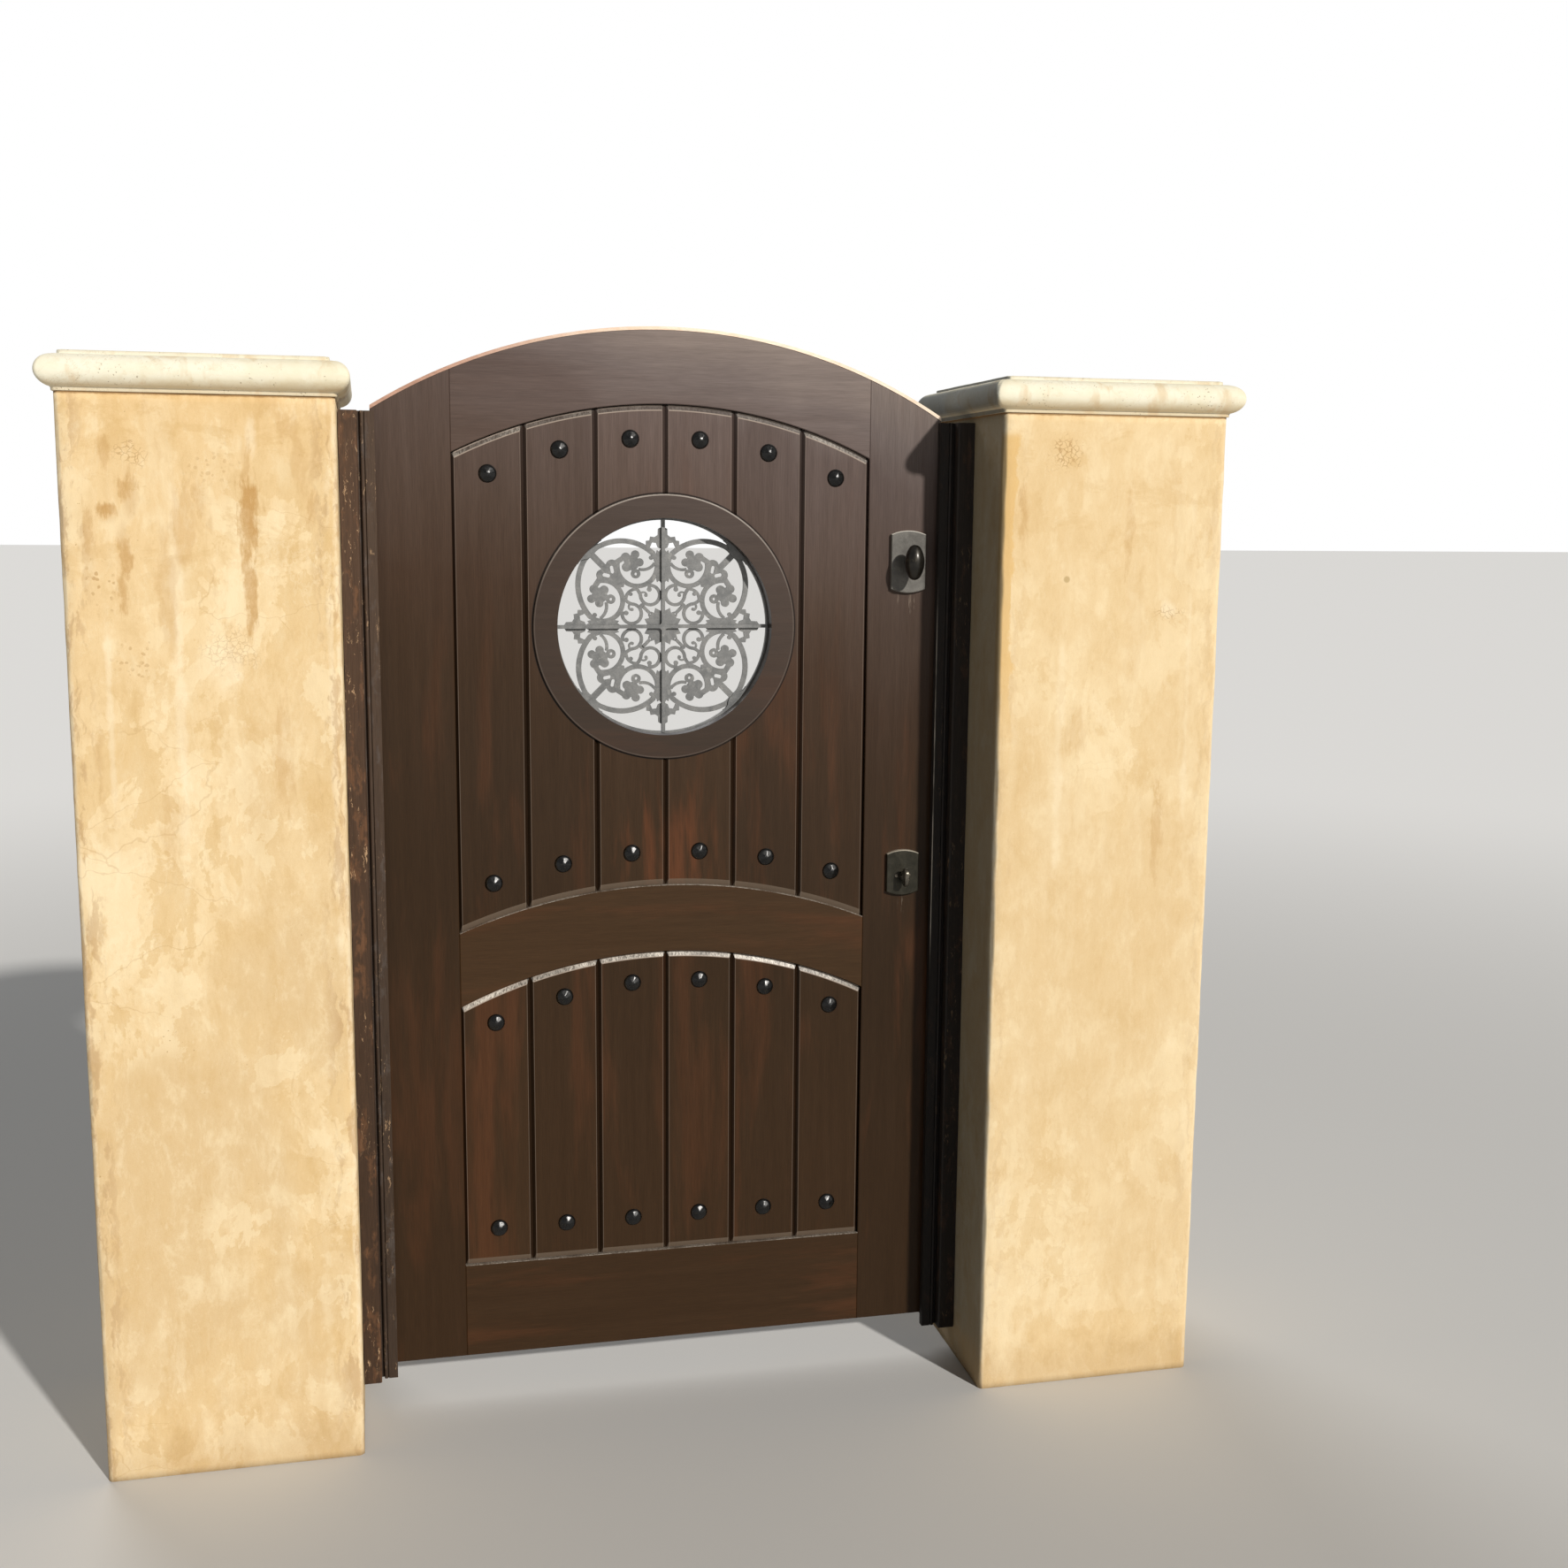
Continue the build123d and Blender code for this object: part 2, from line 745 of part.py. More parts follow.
save(thumbturn, "thumbturn")

# Face plates and bolt ends on the leaf's edge, strikes on the jamb
with BuildPart() as latch_face_plates:
    with BuildSketch(Plane.YZ.offset(leaf_half)):
        with Locations((0, knob_z), (0, turn_z)):
            Rectangle(face_plate_width, face_plate_height)
            Rectangle(bolt_width, bolt_height, mode=Mode.SUBTRACT)
    extrude(amount=-face_plate_thickness)
save(latch_face_plates, "latch_face_plates")

with BuildPart() as latch_bolts:
    with BuildSketch(Plane.YZ.offset(leaf_half)):
        with Locations((0, knob_z), (0, turn_z)):
            Rectangle(bolt_width - 2 * bolt_clearance, bolt_height - 2 * bolt_clearance)
    extrude(amount=-bolt_length)
save(latch_bolts, "latch_bolts")

with BuildPart() as strike_plates:
    with BuildSketch(Plane.YZ.offset(jamb_inner)):
        with Locations((0, knob_z), (0, turn_z)):
            Rectangle(face_plate_width, face_plate_height)
            Rectangle(bolt_width, bolt_height, mode=Mode.SUBTRACT)
    extrude(amount=face_plate_thickness)
save(strike_plates, "strike_plates")


def make_hinge_leaves(toward, knuckles, bore):
    """Hinge plates lying on one side of the gap, with their share of the knuckles."""
    knuckle_length = hinge_length / knuckle_count
    plate_x = hinge_axis_x + toward * (leaf_gap - hinge_plate_thickness) / 2
    with BuildPart() as leaves:
        for middle in hinge_heights:
            foot = middle - hinge_length / 2
            with BuildSketch(Plane.XY.offset(foot)):
                with Locations((plate_x, leaf_back - hinge_plate_depth / 2)):
                    Rectangle(hinge_plate_thickness, hinge_plate_depth)
            extrude(amount=hinge_length)
            for knuckle in knuckles:
                knuckle_foot = foot + knuckle * knuckle_length + knuckle_clearance / 2
                with BuildSketch(Plane.XY.offset(knuckle_foot)):
                    with Locations((hinge_axis_x, hinge_axis_y)):
                        Circle(knuckle_radius)
                    with Locations((plate_x, (leaf_back + hinge_axis_y) / 2)):
                        Rectangle(hinge_plate_thickness, knuckle_stand_off)
                    with Locations((hinge_axis_x, hinge_axis_y)):
                        Circle(bore / 2, mode=Mode.SUBTRACT)
                extrude(amount=knuckle_length - knuckle_clearance)
    return leaves


hinge_jamb_leaves = make_hinge_leaves(-1, range(0, knuckle_count, 2), pin_diameter)
save(hinge_jamb_leaves, "hinge_jamb_leaves")

gate_leaf_bore = pin_diameter + 2 * pin_clearance
hinge_gate_leaves = make_hinge_leaves(1, range(1, knuckle_count, 2), gate_leaf_bore)
save(hinge_gate_leaves, "hinge_gate_leaves")

with BuildPart() as hinge_pins:
    for middle in hinge_heights:
        with BuildSketch(Plane.XY.offset(middle - hinge_length / 2)):
            with Locations((hinge_axis_x, hinge_axis_y)):
                Circle(pin_diameter / 2)
        extrude(amount=hinge_length)
        with BuildSketch(Plane.XY.offset(middle + hinge_length / 2)):
            with Locations((hinge_axis_x, hinge_axis_y)):
                Circle(knuckle_radius)
        extrude(amount=pin_head_height, taper=pin_head_draft)
save(hinge_pins, "hinge_pins")
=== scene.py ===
import math

import bpy
from mathutils import Matrix, Vector, noise


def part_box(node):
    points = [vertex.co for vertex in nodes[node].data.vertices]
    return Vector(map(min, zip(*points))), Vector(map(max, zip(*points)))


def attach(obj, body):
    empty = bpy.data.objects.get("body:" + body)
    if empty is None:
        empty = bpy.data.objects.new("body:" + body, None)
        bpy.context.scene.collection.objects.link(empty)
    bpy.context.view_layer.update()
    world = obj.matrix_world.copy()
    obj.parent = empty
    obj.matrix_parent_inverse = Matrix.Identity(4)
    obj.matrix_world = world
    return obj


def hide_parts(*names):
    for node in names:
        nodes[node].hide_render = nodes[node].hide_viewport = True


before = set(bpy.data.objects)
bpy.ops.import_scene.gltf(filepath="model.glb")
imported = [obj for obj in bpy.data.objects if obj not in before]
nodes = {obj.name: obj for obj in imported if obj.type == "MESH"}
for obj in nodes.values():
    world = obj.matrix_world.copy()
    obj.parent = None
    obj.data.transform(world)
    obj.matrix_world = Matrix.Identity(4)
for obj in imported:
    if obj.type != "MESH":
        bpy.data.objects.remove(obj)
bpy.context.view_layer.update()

# Camera of the photograph, in the gate's own metres
camera_place = Vector((-0.5544, -3.3890, 1.7250))
camera_yaw = math.radians(13.18)
camera_pitch = math.radians(8.638)
camera_roll = math.radians(0.512)
camera_sensor = 36
camera_lens = 40.894
camera_shift_y = 0.00147

# Light and floor. The floor pales with its distance from the gate.
sun_azimuth = math.radians(25.0)
sun_height = math.radians(27)
sun_strength = 3.12
sun_softness = 0.035
sun_colour = (1.0, 0.965, 0.91)
fill_azimuth = math.radians(195)
fill_height = math.radians(35)
fill_strength = 1.05
fill_softness = 0.5
fill_colour = (1.0, 0.99, 0.97)
sky_colour = (0.93, 0.97, 1.0, 1)
ambient_strength = 0.10
reflection_strength = 0.3
floor_reach = 90.0
floor_height = -0.0005
floor_near, floor_near_colour = 2.5, (0.66, 0.655, 0.645, 1)
floor_far, floor_far_colour = 9.0, (0.96, 0.96, 0.96, 1)
lamp_distance = 6

# Sizes of the solids, in metres. An arch is its centre's height and its radius. The two cap pairs
# are heights between which a colour sets in: grime with a painted shade under the roll, and the flat top.
pier_front = -0.225
pier_corner_radius = 0.009
cap_neck_proud = 0.003
cap_roll_radius = 0.027
cap_roll_inset = 0.002
cap_neck_height = 0.006
cap_table_side = 0.0077
cap_table_top = 0.0092
cap_grime_and_shade = (1.944, 1.928)
cap_flat = (1.9775, 1.9835)
leaf_front = -0.0225
hinge_plate_thickness = 0.0025
board_width = 0.13283
window_z = 1.5121
window_outer = 0.25247
window_opening = 0.20647
upper_arch = (1.047, 0.883)
lower_arch = (-0.021, 0.900)
end_bevel = 0.011
lock_x = 0.478
turn_z = 1.014
turn_screw_offset = 0.013
pier_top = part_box("left_pier")[1].z
plate_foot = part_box("front_knob_plate")[0].z
right_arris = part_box("right_stop")[0].x

# Screw heads: radius and how far they stand proud
turn_screw = (0.0035, 0.002)
hinge_screw = (0.0042, 0.0004)
latch_screw = (0.0036, 0.0004)

# Fineness of the meshes
pier_rows, pier_columns, cap_columns, corner_steps = 128, 32, 42, 6
dome_spokes, dome_rows = 36, 11
screw_spokes, screw_rows = 24, 7


def srgb(red, green, blue):
    """A colour as it shows on a screen, 0 to 255, as linear values."""
    channels = []
    for value in (red, green, blue):
        share = value / 255
        channels.append(share / 12.92 if share <= 0.04045 else ((share + 0.055) / 1.055) ** 2.4)
    return (*channels, 1.0)


class Finish:
    """A procedural material. Its patterns lie in the gate's own metres."""

    def __init__(self, name, roughness=0.5, metallic=0.0, specular=0.5):
        self.material = bpy.data.materials.new(name)
        self.material.use_nodes = True
        self.tree = self.material.node_tree
        self.shader = self.tree.nodes["Principled BSDF"]
        self.shader.inputs["Roughness"].default_value = roughness
        self.shader.inputs["Metallic"].default_value = metallic
        self.shader.inputs["Specular IOR Level"].default_value = specular
        self.place = self.node("ShaderNodeTexCoord").outputs["Object"]
        self.x, self.y, self.z = self.parts(self.place)

    def node(self, kind, **settings):
        made = self.tree.nodes.new(kind)
        for key, value in settings.items():
            setattr(made, key, value)
        return made

    def join(self, socket, value):
        """Link a socket to another, or set it to a plain value."""
        if isinstance(value, bpy.types.NodeSocket):
            self.tree.links.new(value, socket)
        else:
            socket.default_value = value

    def parts(self, vector):
        """The x, y and z of a vector."""
        split = self.node("ShaderNodeSeparateXYZ")
        self.join(split.inputs[0], vector)
        return split.outputs

    def facing(self):
        """The x, y and z of the way the face looks."""
        return self.parts(self.node("ShaderNodeNewGeometry").outputs["True Normal"])

    def vector(self, operation, first, second=(0, 0, 0), result=0):
        made = self.node("ShaderNodeVectorMath", operation=operation)
        self.join(made.inputs[0], first)
        self.join(made.inputs[1], second)
        return made.outputs[result]

    def calc(self, operation, first, second=0.0):
        made = self.node("ShaderNodeMath", operation=operation)
        self.join(made.inputs[0], first)
        self.join(made.inputs[1], second)
        return made.outputs[0]

    def times(self, first, second):
        return self.calc("MULTIPLY", first, second)

    def plus(self, first, second):
        return self.calc("ADD", first, second)

    def minus(self, first, second):
        return self.calc("SUBTRACT", first, second)

    def least(self, first, second):
        return self.calc("MINIMUM", first, second)

    def most(self, first, second):
        return self.calc("MAXIMUM", first, second)

    def apart(self, first, second):
        """How far two numbers lie from each other."""
        return self.calc("ABSOLUTE", self.minus(first, second))

    def sway(self, pattern, amount):
        """A pattern from 0 to 1 made to swing about 0."""
        return self.times(self.minus(pattern, 0.5), amount)

    def band(self, value, low, high, low_out=0.0, high_out=1.0, course="SMOOTHSTEP"):
        """A clamped step from low_out at low to high_out at high."""
        made = self.node("ShaderNodeMapRange", interpolation_type=course)
        for socket, number in zip(made.inputs[:5], (value, low, high, low_out, high_out)):
            self.join(socket, number)
        return made.outputs[0]

    def stripe(self, value, middle, half, soft):
        """1 within half of the middle, falling to 0 over soft."""
        return self.band(self.apart(value, middle), half + soft, half)

    def from_middle(self, height):
        """How far a place lies from a point at this height on the leaf's middle line."""
        rise = self.minus(self.z, height)
        return self.calc("SQRT", self.plus(self.times(self.x, self.x), self.times(rise, rise)))

    def at(self, stretch=(1, 1, 1), shift=(0, 0, 0), place=None):
        """The place, stretched and shifted."""
        mapping = self.node("ShaderNodeMapping")
        self.join(mapping.inputs["Vector"], place or self.place)
        self.join(mapping.inputs["Scale"], stretch)
        self.join(mapping.inputs["Location"], shift)
        return mapping.outputs[0]

    def clouded(self, vector, scale, detail, rough=0.5, warp=0.0):
        """The outputs of a noise: its value and its colour."""
        made = self.node("ShaderNodeTexNoise")
        self.join(made.inputs["Vector"], vector)
        self.join(made.inputs["Scale"], scale)
        self.join(made.inputs["Detail"], detail)
        self.join(made.inputs["Roughness"], rough)
        self.join(made.inputs["Distortion"], warp)
        return made.outputs

    def noise(self, scale, detail=3, rough=0.5, stretch=(1, 1, 1), shift=(0, 0, 0), warp=0.0, place=None):
        return self.clouded(self.at(stretch, shift, place), scale, detail, rough, warp)[0]

    def warped(self, scale, amount, shift=(0, 0, 0)):
        """The place pushed about by a noise, for ragged outlines."""
        push = self.clouded(self.at((1, 1, 1), shift), scale, 4)[1]
        push = self.vector("SUBTRACT", push, (0.5, 0.5, 0.5))
        return self.vector("ADD", self.place, self.vector("MULTIPLY", push, (amount, amount, amount)))

    def cells(self, scale, feature="F1", stretch=(1, 1, 1), shift=(0, 0, 0), place=None):
        """How far a place lies from the middle, or from the edge, of its cell."""
        made = self.node("ShaderNodeTexVoronoi", feature=feature)
        self.join(made.inputs["Vector"], self.at(stretch, shift, place))
        self.join(made.inputs["Scale"], scale)
        return made.outputs["Distance"]

    def spot(self, centre, reach, place, ragged=0.0, soft=0.4):
        """1 inside a ragged oval round centre, 0 outside."""
        away = self.vector("DIVIDE", self.vector("SUBTRACT", place, centre), reach)
        far = self.plus(self.vector("LENGTH", away, result="Value"), ragged)
        return self.band(far, 1.0, 1.0 - soft)

    def spots(self, places, place, ragged=0.0, soft=0.6):
        """The strongest of several ovals, each with its own strength."""
        total = 0.0
        for centre, reach, strength in places:
            total = self.most(self.times(self.spot(centre, reach, place, ragged, soft), strength), total)
        return total

    def blend(self, factor, first, second, mode="MIX"):
        made = self.node("ShaderNodeMix", data_type="RGBA", blend_type=mode)
        self.join(made.inputs[0], factor)
        self.join(made.inputs[6], first)
        self.join(made.inputs[7], second)
        return made.outputs[2]

    def paint(self, under, over, mask, share=1.0):
        """A screen colour laid over another colour where the mask says, as strongly as share says."""
        if share != 1.0:
            mask = self.times(mask, share)
        return self.blend(mask, under, srgb(*over))

    def grey(self, value):
        """A number as a grey colour."""
        made = self.node("ShaderNodeCombineColor")
        for socket in made.inputs[:3]:
            self.join(socket, value)
        return made.outputs[0]

    def grain(self, colour, pattern, share, depth, reach=0.25):
        """A colour with a fine pattern's light and dark marks."""
        marks = self.band(pattern, 0.5 - reach, 0.5 + reach, 0.5 - depth, 0.5 + depth)
        return self.blend(share, colour, self.grey(marks), "OVERLAY")

    def ramp(self, value, low, high, stops):
        """A colour read off a list of places between low and high and their colours."""
        made = self.node("ShaderNodeValToRGB")
        points = made.color_ramp.elements
        while len(points) < len(stops):
            points.new(0.5)
        for point, (where, colour) in zip(points, stops):
            point.position = (where - low) / (high - low)
            point.color = srgb(*colour)
        self.join(made.inputs[0], self.band(value, low, high, course="LINEAR"))
        return made.outputs[0]

    def colour(self, value):
        self.join(self.shader.inputs["Base Color"], value)

    def roughness(self, value):
        self.join(self.shader.inputs["Roughness"], value)

    def relief(self, *heights):
        """Bump from pairs of a height pattern and its depth in metres."""
        normal = None
        for height, depth in heights:
            bump = self.node("ShaderNodeBump")
            self.join(bump.inputs["Strength"], 1.0)
            self.join(bump.inputs["Distance"], depth)
            self.join(bump.inputs["Height"], height)
            if normal is not None:
                self.join(bump.inputs["Normal"], normal)
            normal = bump.outputs["Normal"]
        self.join(self.shader.inputs["Normal"], normal)


# The stain's colour by height in metres, with a painted sheen that lightens it towards the top
wood_foot, wood_head = 0.5, 2.15
stain_and_sheen_by_height = (
    (0.55, (54, 37, 21)), (0.9, (51, 35, 19)), (1.16, (54, 38, 23)), (1.32, (58, 41, 26)),
    (1.48, (65, 47, 34)), (1.64, (76, 60, 50)), (1.80, (87, 72, 65)), (1.92, (94, 80, 75)),
    (2.0, (111, 99, 95)), (2.10, (132, 119, 112)),
)


def stained_wood(name, along, seed, tone=1.0, red=0.0, bevels=0.0, kind="frame", arch=None, scratches=()):
    """Dark walnut stain, richer brown lower down, with a painted sheen that lightens it towards the upper
    right.

    along is the axis of the grain, red is how strongly the lower part warms, and bevels is how
    strongly the upward bevels get pale scuffs with a painted highlight. kind is frame, board or ring.
    Boards get stain gathered with a painted shade in their grooves, a painted highlight beside the
    grooves and along their bevels, a painted shadow under the rail, a painted shade on upward bevels
    and a painted reflection of the ground on downward ones. Boards and ring get a dark joint with a
    painted shade round the ring; the ring gets a painted highlight on its rim, a painted shade in its
    bore and a painted reflection of the sky at the bore's foot. arch is the centre's height and the
    radius of the rail over a board, and scratches are ovals that hold pale nicks.
    """
    finish = Finish(name, roughness=0.38, specular=0.2)
    shift = (seed * 3.1, seed * 1.7, seed * 5.3)
    stretch = {"x": (0.035, 1, 1), "z": (1, 1, 0.035)}[along]
    slow_stretch = {"x": (0.14, 1, 1), "z": (1, 1, 0.14)}[along]
    fine = finish.noise(620, 3, 0.6, stretch, shift)
    streaks = finish.noise(95, 4, 0.6, stretch, shift)
    bands = finish.noise(15, 3, 0.55, slow_stretch, shift)
    clouds = finish.noise(3.5, 3, 0.5, (1, 1, 0.7), shift, 0.4)
    # Painted sheen: the height that the ramp reads also grows towards the right
    height = finish.plus(finish.z, finish.times(finish.x, 0.3))
    height = finish.plus(height, finish.sway(clouds, 0.16))
    height = finish.plus(height, finish.sway(bands, 0.14))
    colour = finish.ramp(height, wood_foot, wood_head, stain_and_sheen_by_height)
    colour = finish.blend(1.0, colour, (tone, tone, tone, 1), "MULTIPLY")
    warm = finish.band(finish.noise(14, 4, 0.62, slow_stretch, (shift[1], shift[2], shift[0]), 0.3), 0.5, 0.7)
    warm = finish.times(warm, finish.band(finish.z, 1.75, 1.2, 0.03 + 0.2 * red, 0.22 + red))
    colour = finish.paint(colour, (100, 59, 35), warm)
    colour = finish.grain(colour, streaks, 0.42, 0.08)
    colour = finish.grain(colour, fine, 0.3, 0.2)
    if bevels:
        # Upward bevels: on boards a painted shade, then pale scuffs with a painted highlight
        upward = finish.band(finish.facing()[2], 0.22, 0.33)
        scuffs_and_highlight = finish.band(finish.noise(300, 4, 0.75, (1, 1, 0.3), shift), 0.38, 0.6, 0.22, 1.0)
        patchy = finish.band(finish.noise(13, 3, 0.6, (1, 1, 0.3), shift), 0.36, 0.6, 0.45, 1.0)
        scuffs_and_highlight = finish.times(finish.times(scuffs_and_highlight, patchy), upward)
        if kind == "board":
            colour = finish.paint(colour, (34, 25, 20), upward, 0.6)
        colour = finish.paint(colour, (226, 218, 206), scuffs_and_highlight, bevels)
    if kind == "board":
        # Downward bevels lightened: a painted reflection of the ground
        ground_reflection = finish.times(finish.band(finish.facing()[2], -0.22, -0.33), 0.6)
        colour = finish.paint(colour, (128, 113, 98), ground_reflection)
        count = finish.calc("DIVIDE", finish.x, board_width)
        off = finish.apart(count, finish.calc("ROUND", count))
        # Grooves darkened: gathered stain and a painted shade
        groove_stain_and_shade = finish.times(finish.band(off, 0.044, 0.036), 0.62)
        colour = finish.paint(colour, (20, 13, 9), groove_stain_and_shade)
        # Thin pale lines beside the grooves: a painted highlight
        groove_edge_highlight = finish.times(finish.stripe(off, 0.047, 0.003, 0.003), 0.16)
        centre, radius = arch
        far = finish.from_middle(centre)
        # A dark line under the rail: a painted shadow
        rail_shadow = finish.stripe(far, radius - 0.0006, 0.0012, 0.0008)
        colour = finish.paint(colour, (16, 11, 8), rail_shadow, 0.75)
        # Pale lines along the bevel's edges: a painted highlight
        top_highlight = finish.stripe(far, radius - 0.003, 0.0007, 0.0006)
        foot_highlight = finish.stripe(far, radius - end_bevel - 0.0004, 0.0007, 0.0007)
        bevel_highlights = finish.times(finish.most(top_highlight, foot_highlight), 0.62)
        bevel_highlights = finish.times(bevel_highlights, finish.band(off, 0.045, 0.052))
        colour = finish.paint(colour, (186, 170, 156), finish.most(groove_edge_highlight, bevel_highlights))
    if kind != "frame":
        contour = (0.0018, 0.0014) if kind == "board" else (0.0007, 0.0006)
        # A dark line round the ring: its joint, with a painted shade
        ring_joint_shade = finish.stripe(finish.from_middle(window_z), window_outer, *contour)
        colour = finish.paint(colour, (15, 10, 8), ring_joint_shade, 0.8)
    if kind == "ring":
        colour = finish.paint(colour, (80, 76, 74), 0.24)
        far = finish.from_middle(window_z)
        # A pale line on the ring's outer edge, strongest at the top: a painted highlight
        rim_highlight = finish.stripe(far, window_outer - 0.0026, 0.0008, 0.0008)
        colour = finish.paint(colour, (196, 184, 174), rim_highlight, finish.band(finish.z, 1.55, 1.74, 0.08, 0.46))
        # The ring's bore darkened: a painted shade
        bore_shade = finish.band(far, window_opening + 0.0006, window_opening - 0.0004)
        colour = finish.paint(colour, (14, 11, 10), bore_shade, 0.85)
        # A pale bluish foot of the bore: a painted reflection of the sky
        bore_sky_reflection = finish.times(bore_shade, finish.band(finish.z, 1.37, 1.33, 0.0, 0.6))
        colour = finish.paint(colour, (150, 150, 158), bore_sky_reflection)
    if scratches:
        nicks = finish.band(finish.noise(260, 3, 0.7, (1, 1, 0.07), shift), 0.54, 0.61)
        nicks = finish.times(nicks, finish.spots(scratches, finish.place, 0.0, 0.8))
        colour = finish.paint(colour, (160, 144, 128), nicks, 0.45)
    finish.colour(colour)
    finish.roughness(finish.band(streaks, 0.2, 0.8, 0.32, 0.43))
    finish.relief((bands, 0.0003), (streaks, 0.0001), (fine, 0.00006))
    return finish.material


def jamb_wood(name, seed, dark, light, wear, worn=(126, 88, 60), arris=None):
    """The weathered timber of the jambs and stops, with reddish wear and pale scratches.

    arris is the x of an edge that gets a thin pale line: a painted highlight.
    """
    finish = Finish(name, roughness=0.55, specular=0.25)
    shift = (seed * 2.3, seed * 4.1, seed * 1.9)
    stretch = (1, 1, 0.05)
    fine = finish.noise(560, 3, 0.6, stretch, shift)
    streaks = finish.noise(110, 4, 0.6, stretch, shift)
    colour = finish.blend(streaks, srgb(*dark), srgb(*light))
    colour = finish.blend(1.0, colour, finish.grey(finish.band(finish.z, 0.3, 1.8, 0.62, 1.0)), "MULTIPLY")
    ragged = finish.warped(55, 0.016, shift)
    patches = finish.band(finish.noise(48, 4, 0.6, (1, 1, 0.3), shift, 0.3, ragged), 0.52, 0.66)
    colour = finish.paint(colour, worn, patches, wear)
    nicks = finish.band(finish.noise(190, 3, 0.7, (1, 1, 0.1), shift, 0.3, ragged), 0.62, 0.66)
    nicks = finish.times(nicks, finish.band(finish.noise(9, 2, 0.5, (1, 1, 0.5), shift), 0.44, 0.56))
    colour = finish.paint(colour, (186, 154, 120), nicks, wear * 1.7)
    colour = finish.grain(colour, fine, 0.45, 0.2)
    if arris is not None:
        # A thin pale line along the arris: a painted highlight
        arris_highlight = finish.band(finish.x, arris + 0.0024, arris + 0.0014)
        arris_highlight = finish.times(arris_highlight, finish.band(finish.facing()[1], -0.5, -0.8))
        arris_highlight = finish.times(arris_highlight, finish.band(finish.z, 0.78, 0.92))
        arris_highlight = finish.times(arris_highlight, finish.band(finish.z, 1.62, 1.4))
        patchy = finish.band(finish.noise(22, 3, 0.6, (1, 1, 0.4), shift), 0.36, 0.56, 0.25, 0.9)
        colour = finish.paint(colour, (196, 188, 176), arris_highlight, patchy)
    finish.colour(colour)
    finish.roughness(finish.band(streaks, 0.2, 0.8, 0.5, 0.68))
    finish.relief((streaks, 0.0005), (fine, 0.0002), (patches, -0.0002))
    return finish.material


def ovals(front, depth, *rows):
    """Places for Finish.spots round y = front, from x, z, half width, half height and strength."""
    return [((x, front, z), (wide, depth, tall), strength) for x, z, wide, tall, strength in rows]


# Marks read from the photograph
left_marks = {
    "stains": ovals(
        pier_front, 0.05,
        (-0.744, 1.725, 0.021, 0.085, 0.9), (-0.749, 1.800, 0.009, 0.055, 0.5),
        (-0.747, 1.600, 0.012, 0.110, 0.8), (-0.934, 1.755, 0.014, 0.045, 0.8),
        (-0.946, 1.650, 0.014, 0.050, 0.8), (-0.951, 1.585, 0.012, 0.045, 0.7),
        (-0.973, 1.722, 0.021, 0.018, 0.9), (-0.824, 1.745, 0.012, 0.040, 0.5),
        (-0.641, 1.727, 0.010, 0.045, 0.6), (-0.972, 1.820, 0.014, 0.030, 0.5),
        (-1.000, 1.690, 0.012, 0.060, 0.5), (-0.700, 1.300, 0.020, 0.120, 0.35),
        (-0.890, 1.180, 0.024, 0.090, 0.3),
    ),
    "streaks": ovals(
        pier_front, 0.05,
        (-0.866, 1.500, 0.012, 0.460, 0.55), (-0.736, 1.865, 0.014, 0.060, 0.7),
        (-0.615, 1.400, 0.010, 0.600, 0.5), (-0.980, 1.360, 0.008, 0.280, 0.5),
        (-0.800, 1.460, 0.045, 0.060, 0.45),
    ),
    "pitting": ovals(
        pier_front, 0.05,
        (-0.985, 1.600, 0.030, 0.060, 0.8), (-0.940, 1.480, 0.040, 0.040, 0.6),
        (-0.800, 1.800, 0.050, 0.040, 0.4),
    ),
    "crazing": ovals(
        pier_front, 0.05,
        (-0.933, 1.818, 0.030, 0.022, 0.8), (-0.780, 1.495, 0.055, 0.050, 0.45),
    ),
}
right_marks = {
    "stains": ovals(
        pier_front, 0.05,
        (0.642, 1.735, 0.012, 0.080, 0.45), (0.853, 1.700, 0.010, 0.090, 0.35),
        (0.760, 1.330, 0.030, 0.060, 0.25), (0.930, 1.120, 0.014, 0.110, 0.35),
    ),
    "streaks": ovals(
        pier_front, 0.05,
        (0.724, 1.300, 0.012, 0.400, 0.4), (0.940, 1.553, 0.028, 0.020, 0.6),
        (0.985, 1.420, 0.008, 0.400, 0.4),
    ),
    "pitting": (),
    "crazing": ovals(
        pier_front, 0.05,
        (0.724, 1.845, 0.046, 0.040, 0.9), (0.935, 1.545, 0.035, 0.020, 0.6),
    ),
}
latch_scratches = ovals(
    leaf_front, 0.03,
    (lock_x + 0.010, plate_foot - 0.024, 0.013, 0.030, 1.0),
    (lock_x - 0.020, plate_foot - 0.012, 0.008, 0.018, 0.6),
    (lock_x + 0.004, turn_z - 0.060, 0.016, 0.022, 0.6),
)


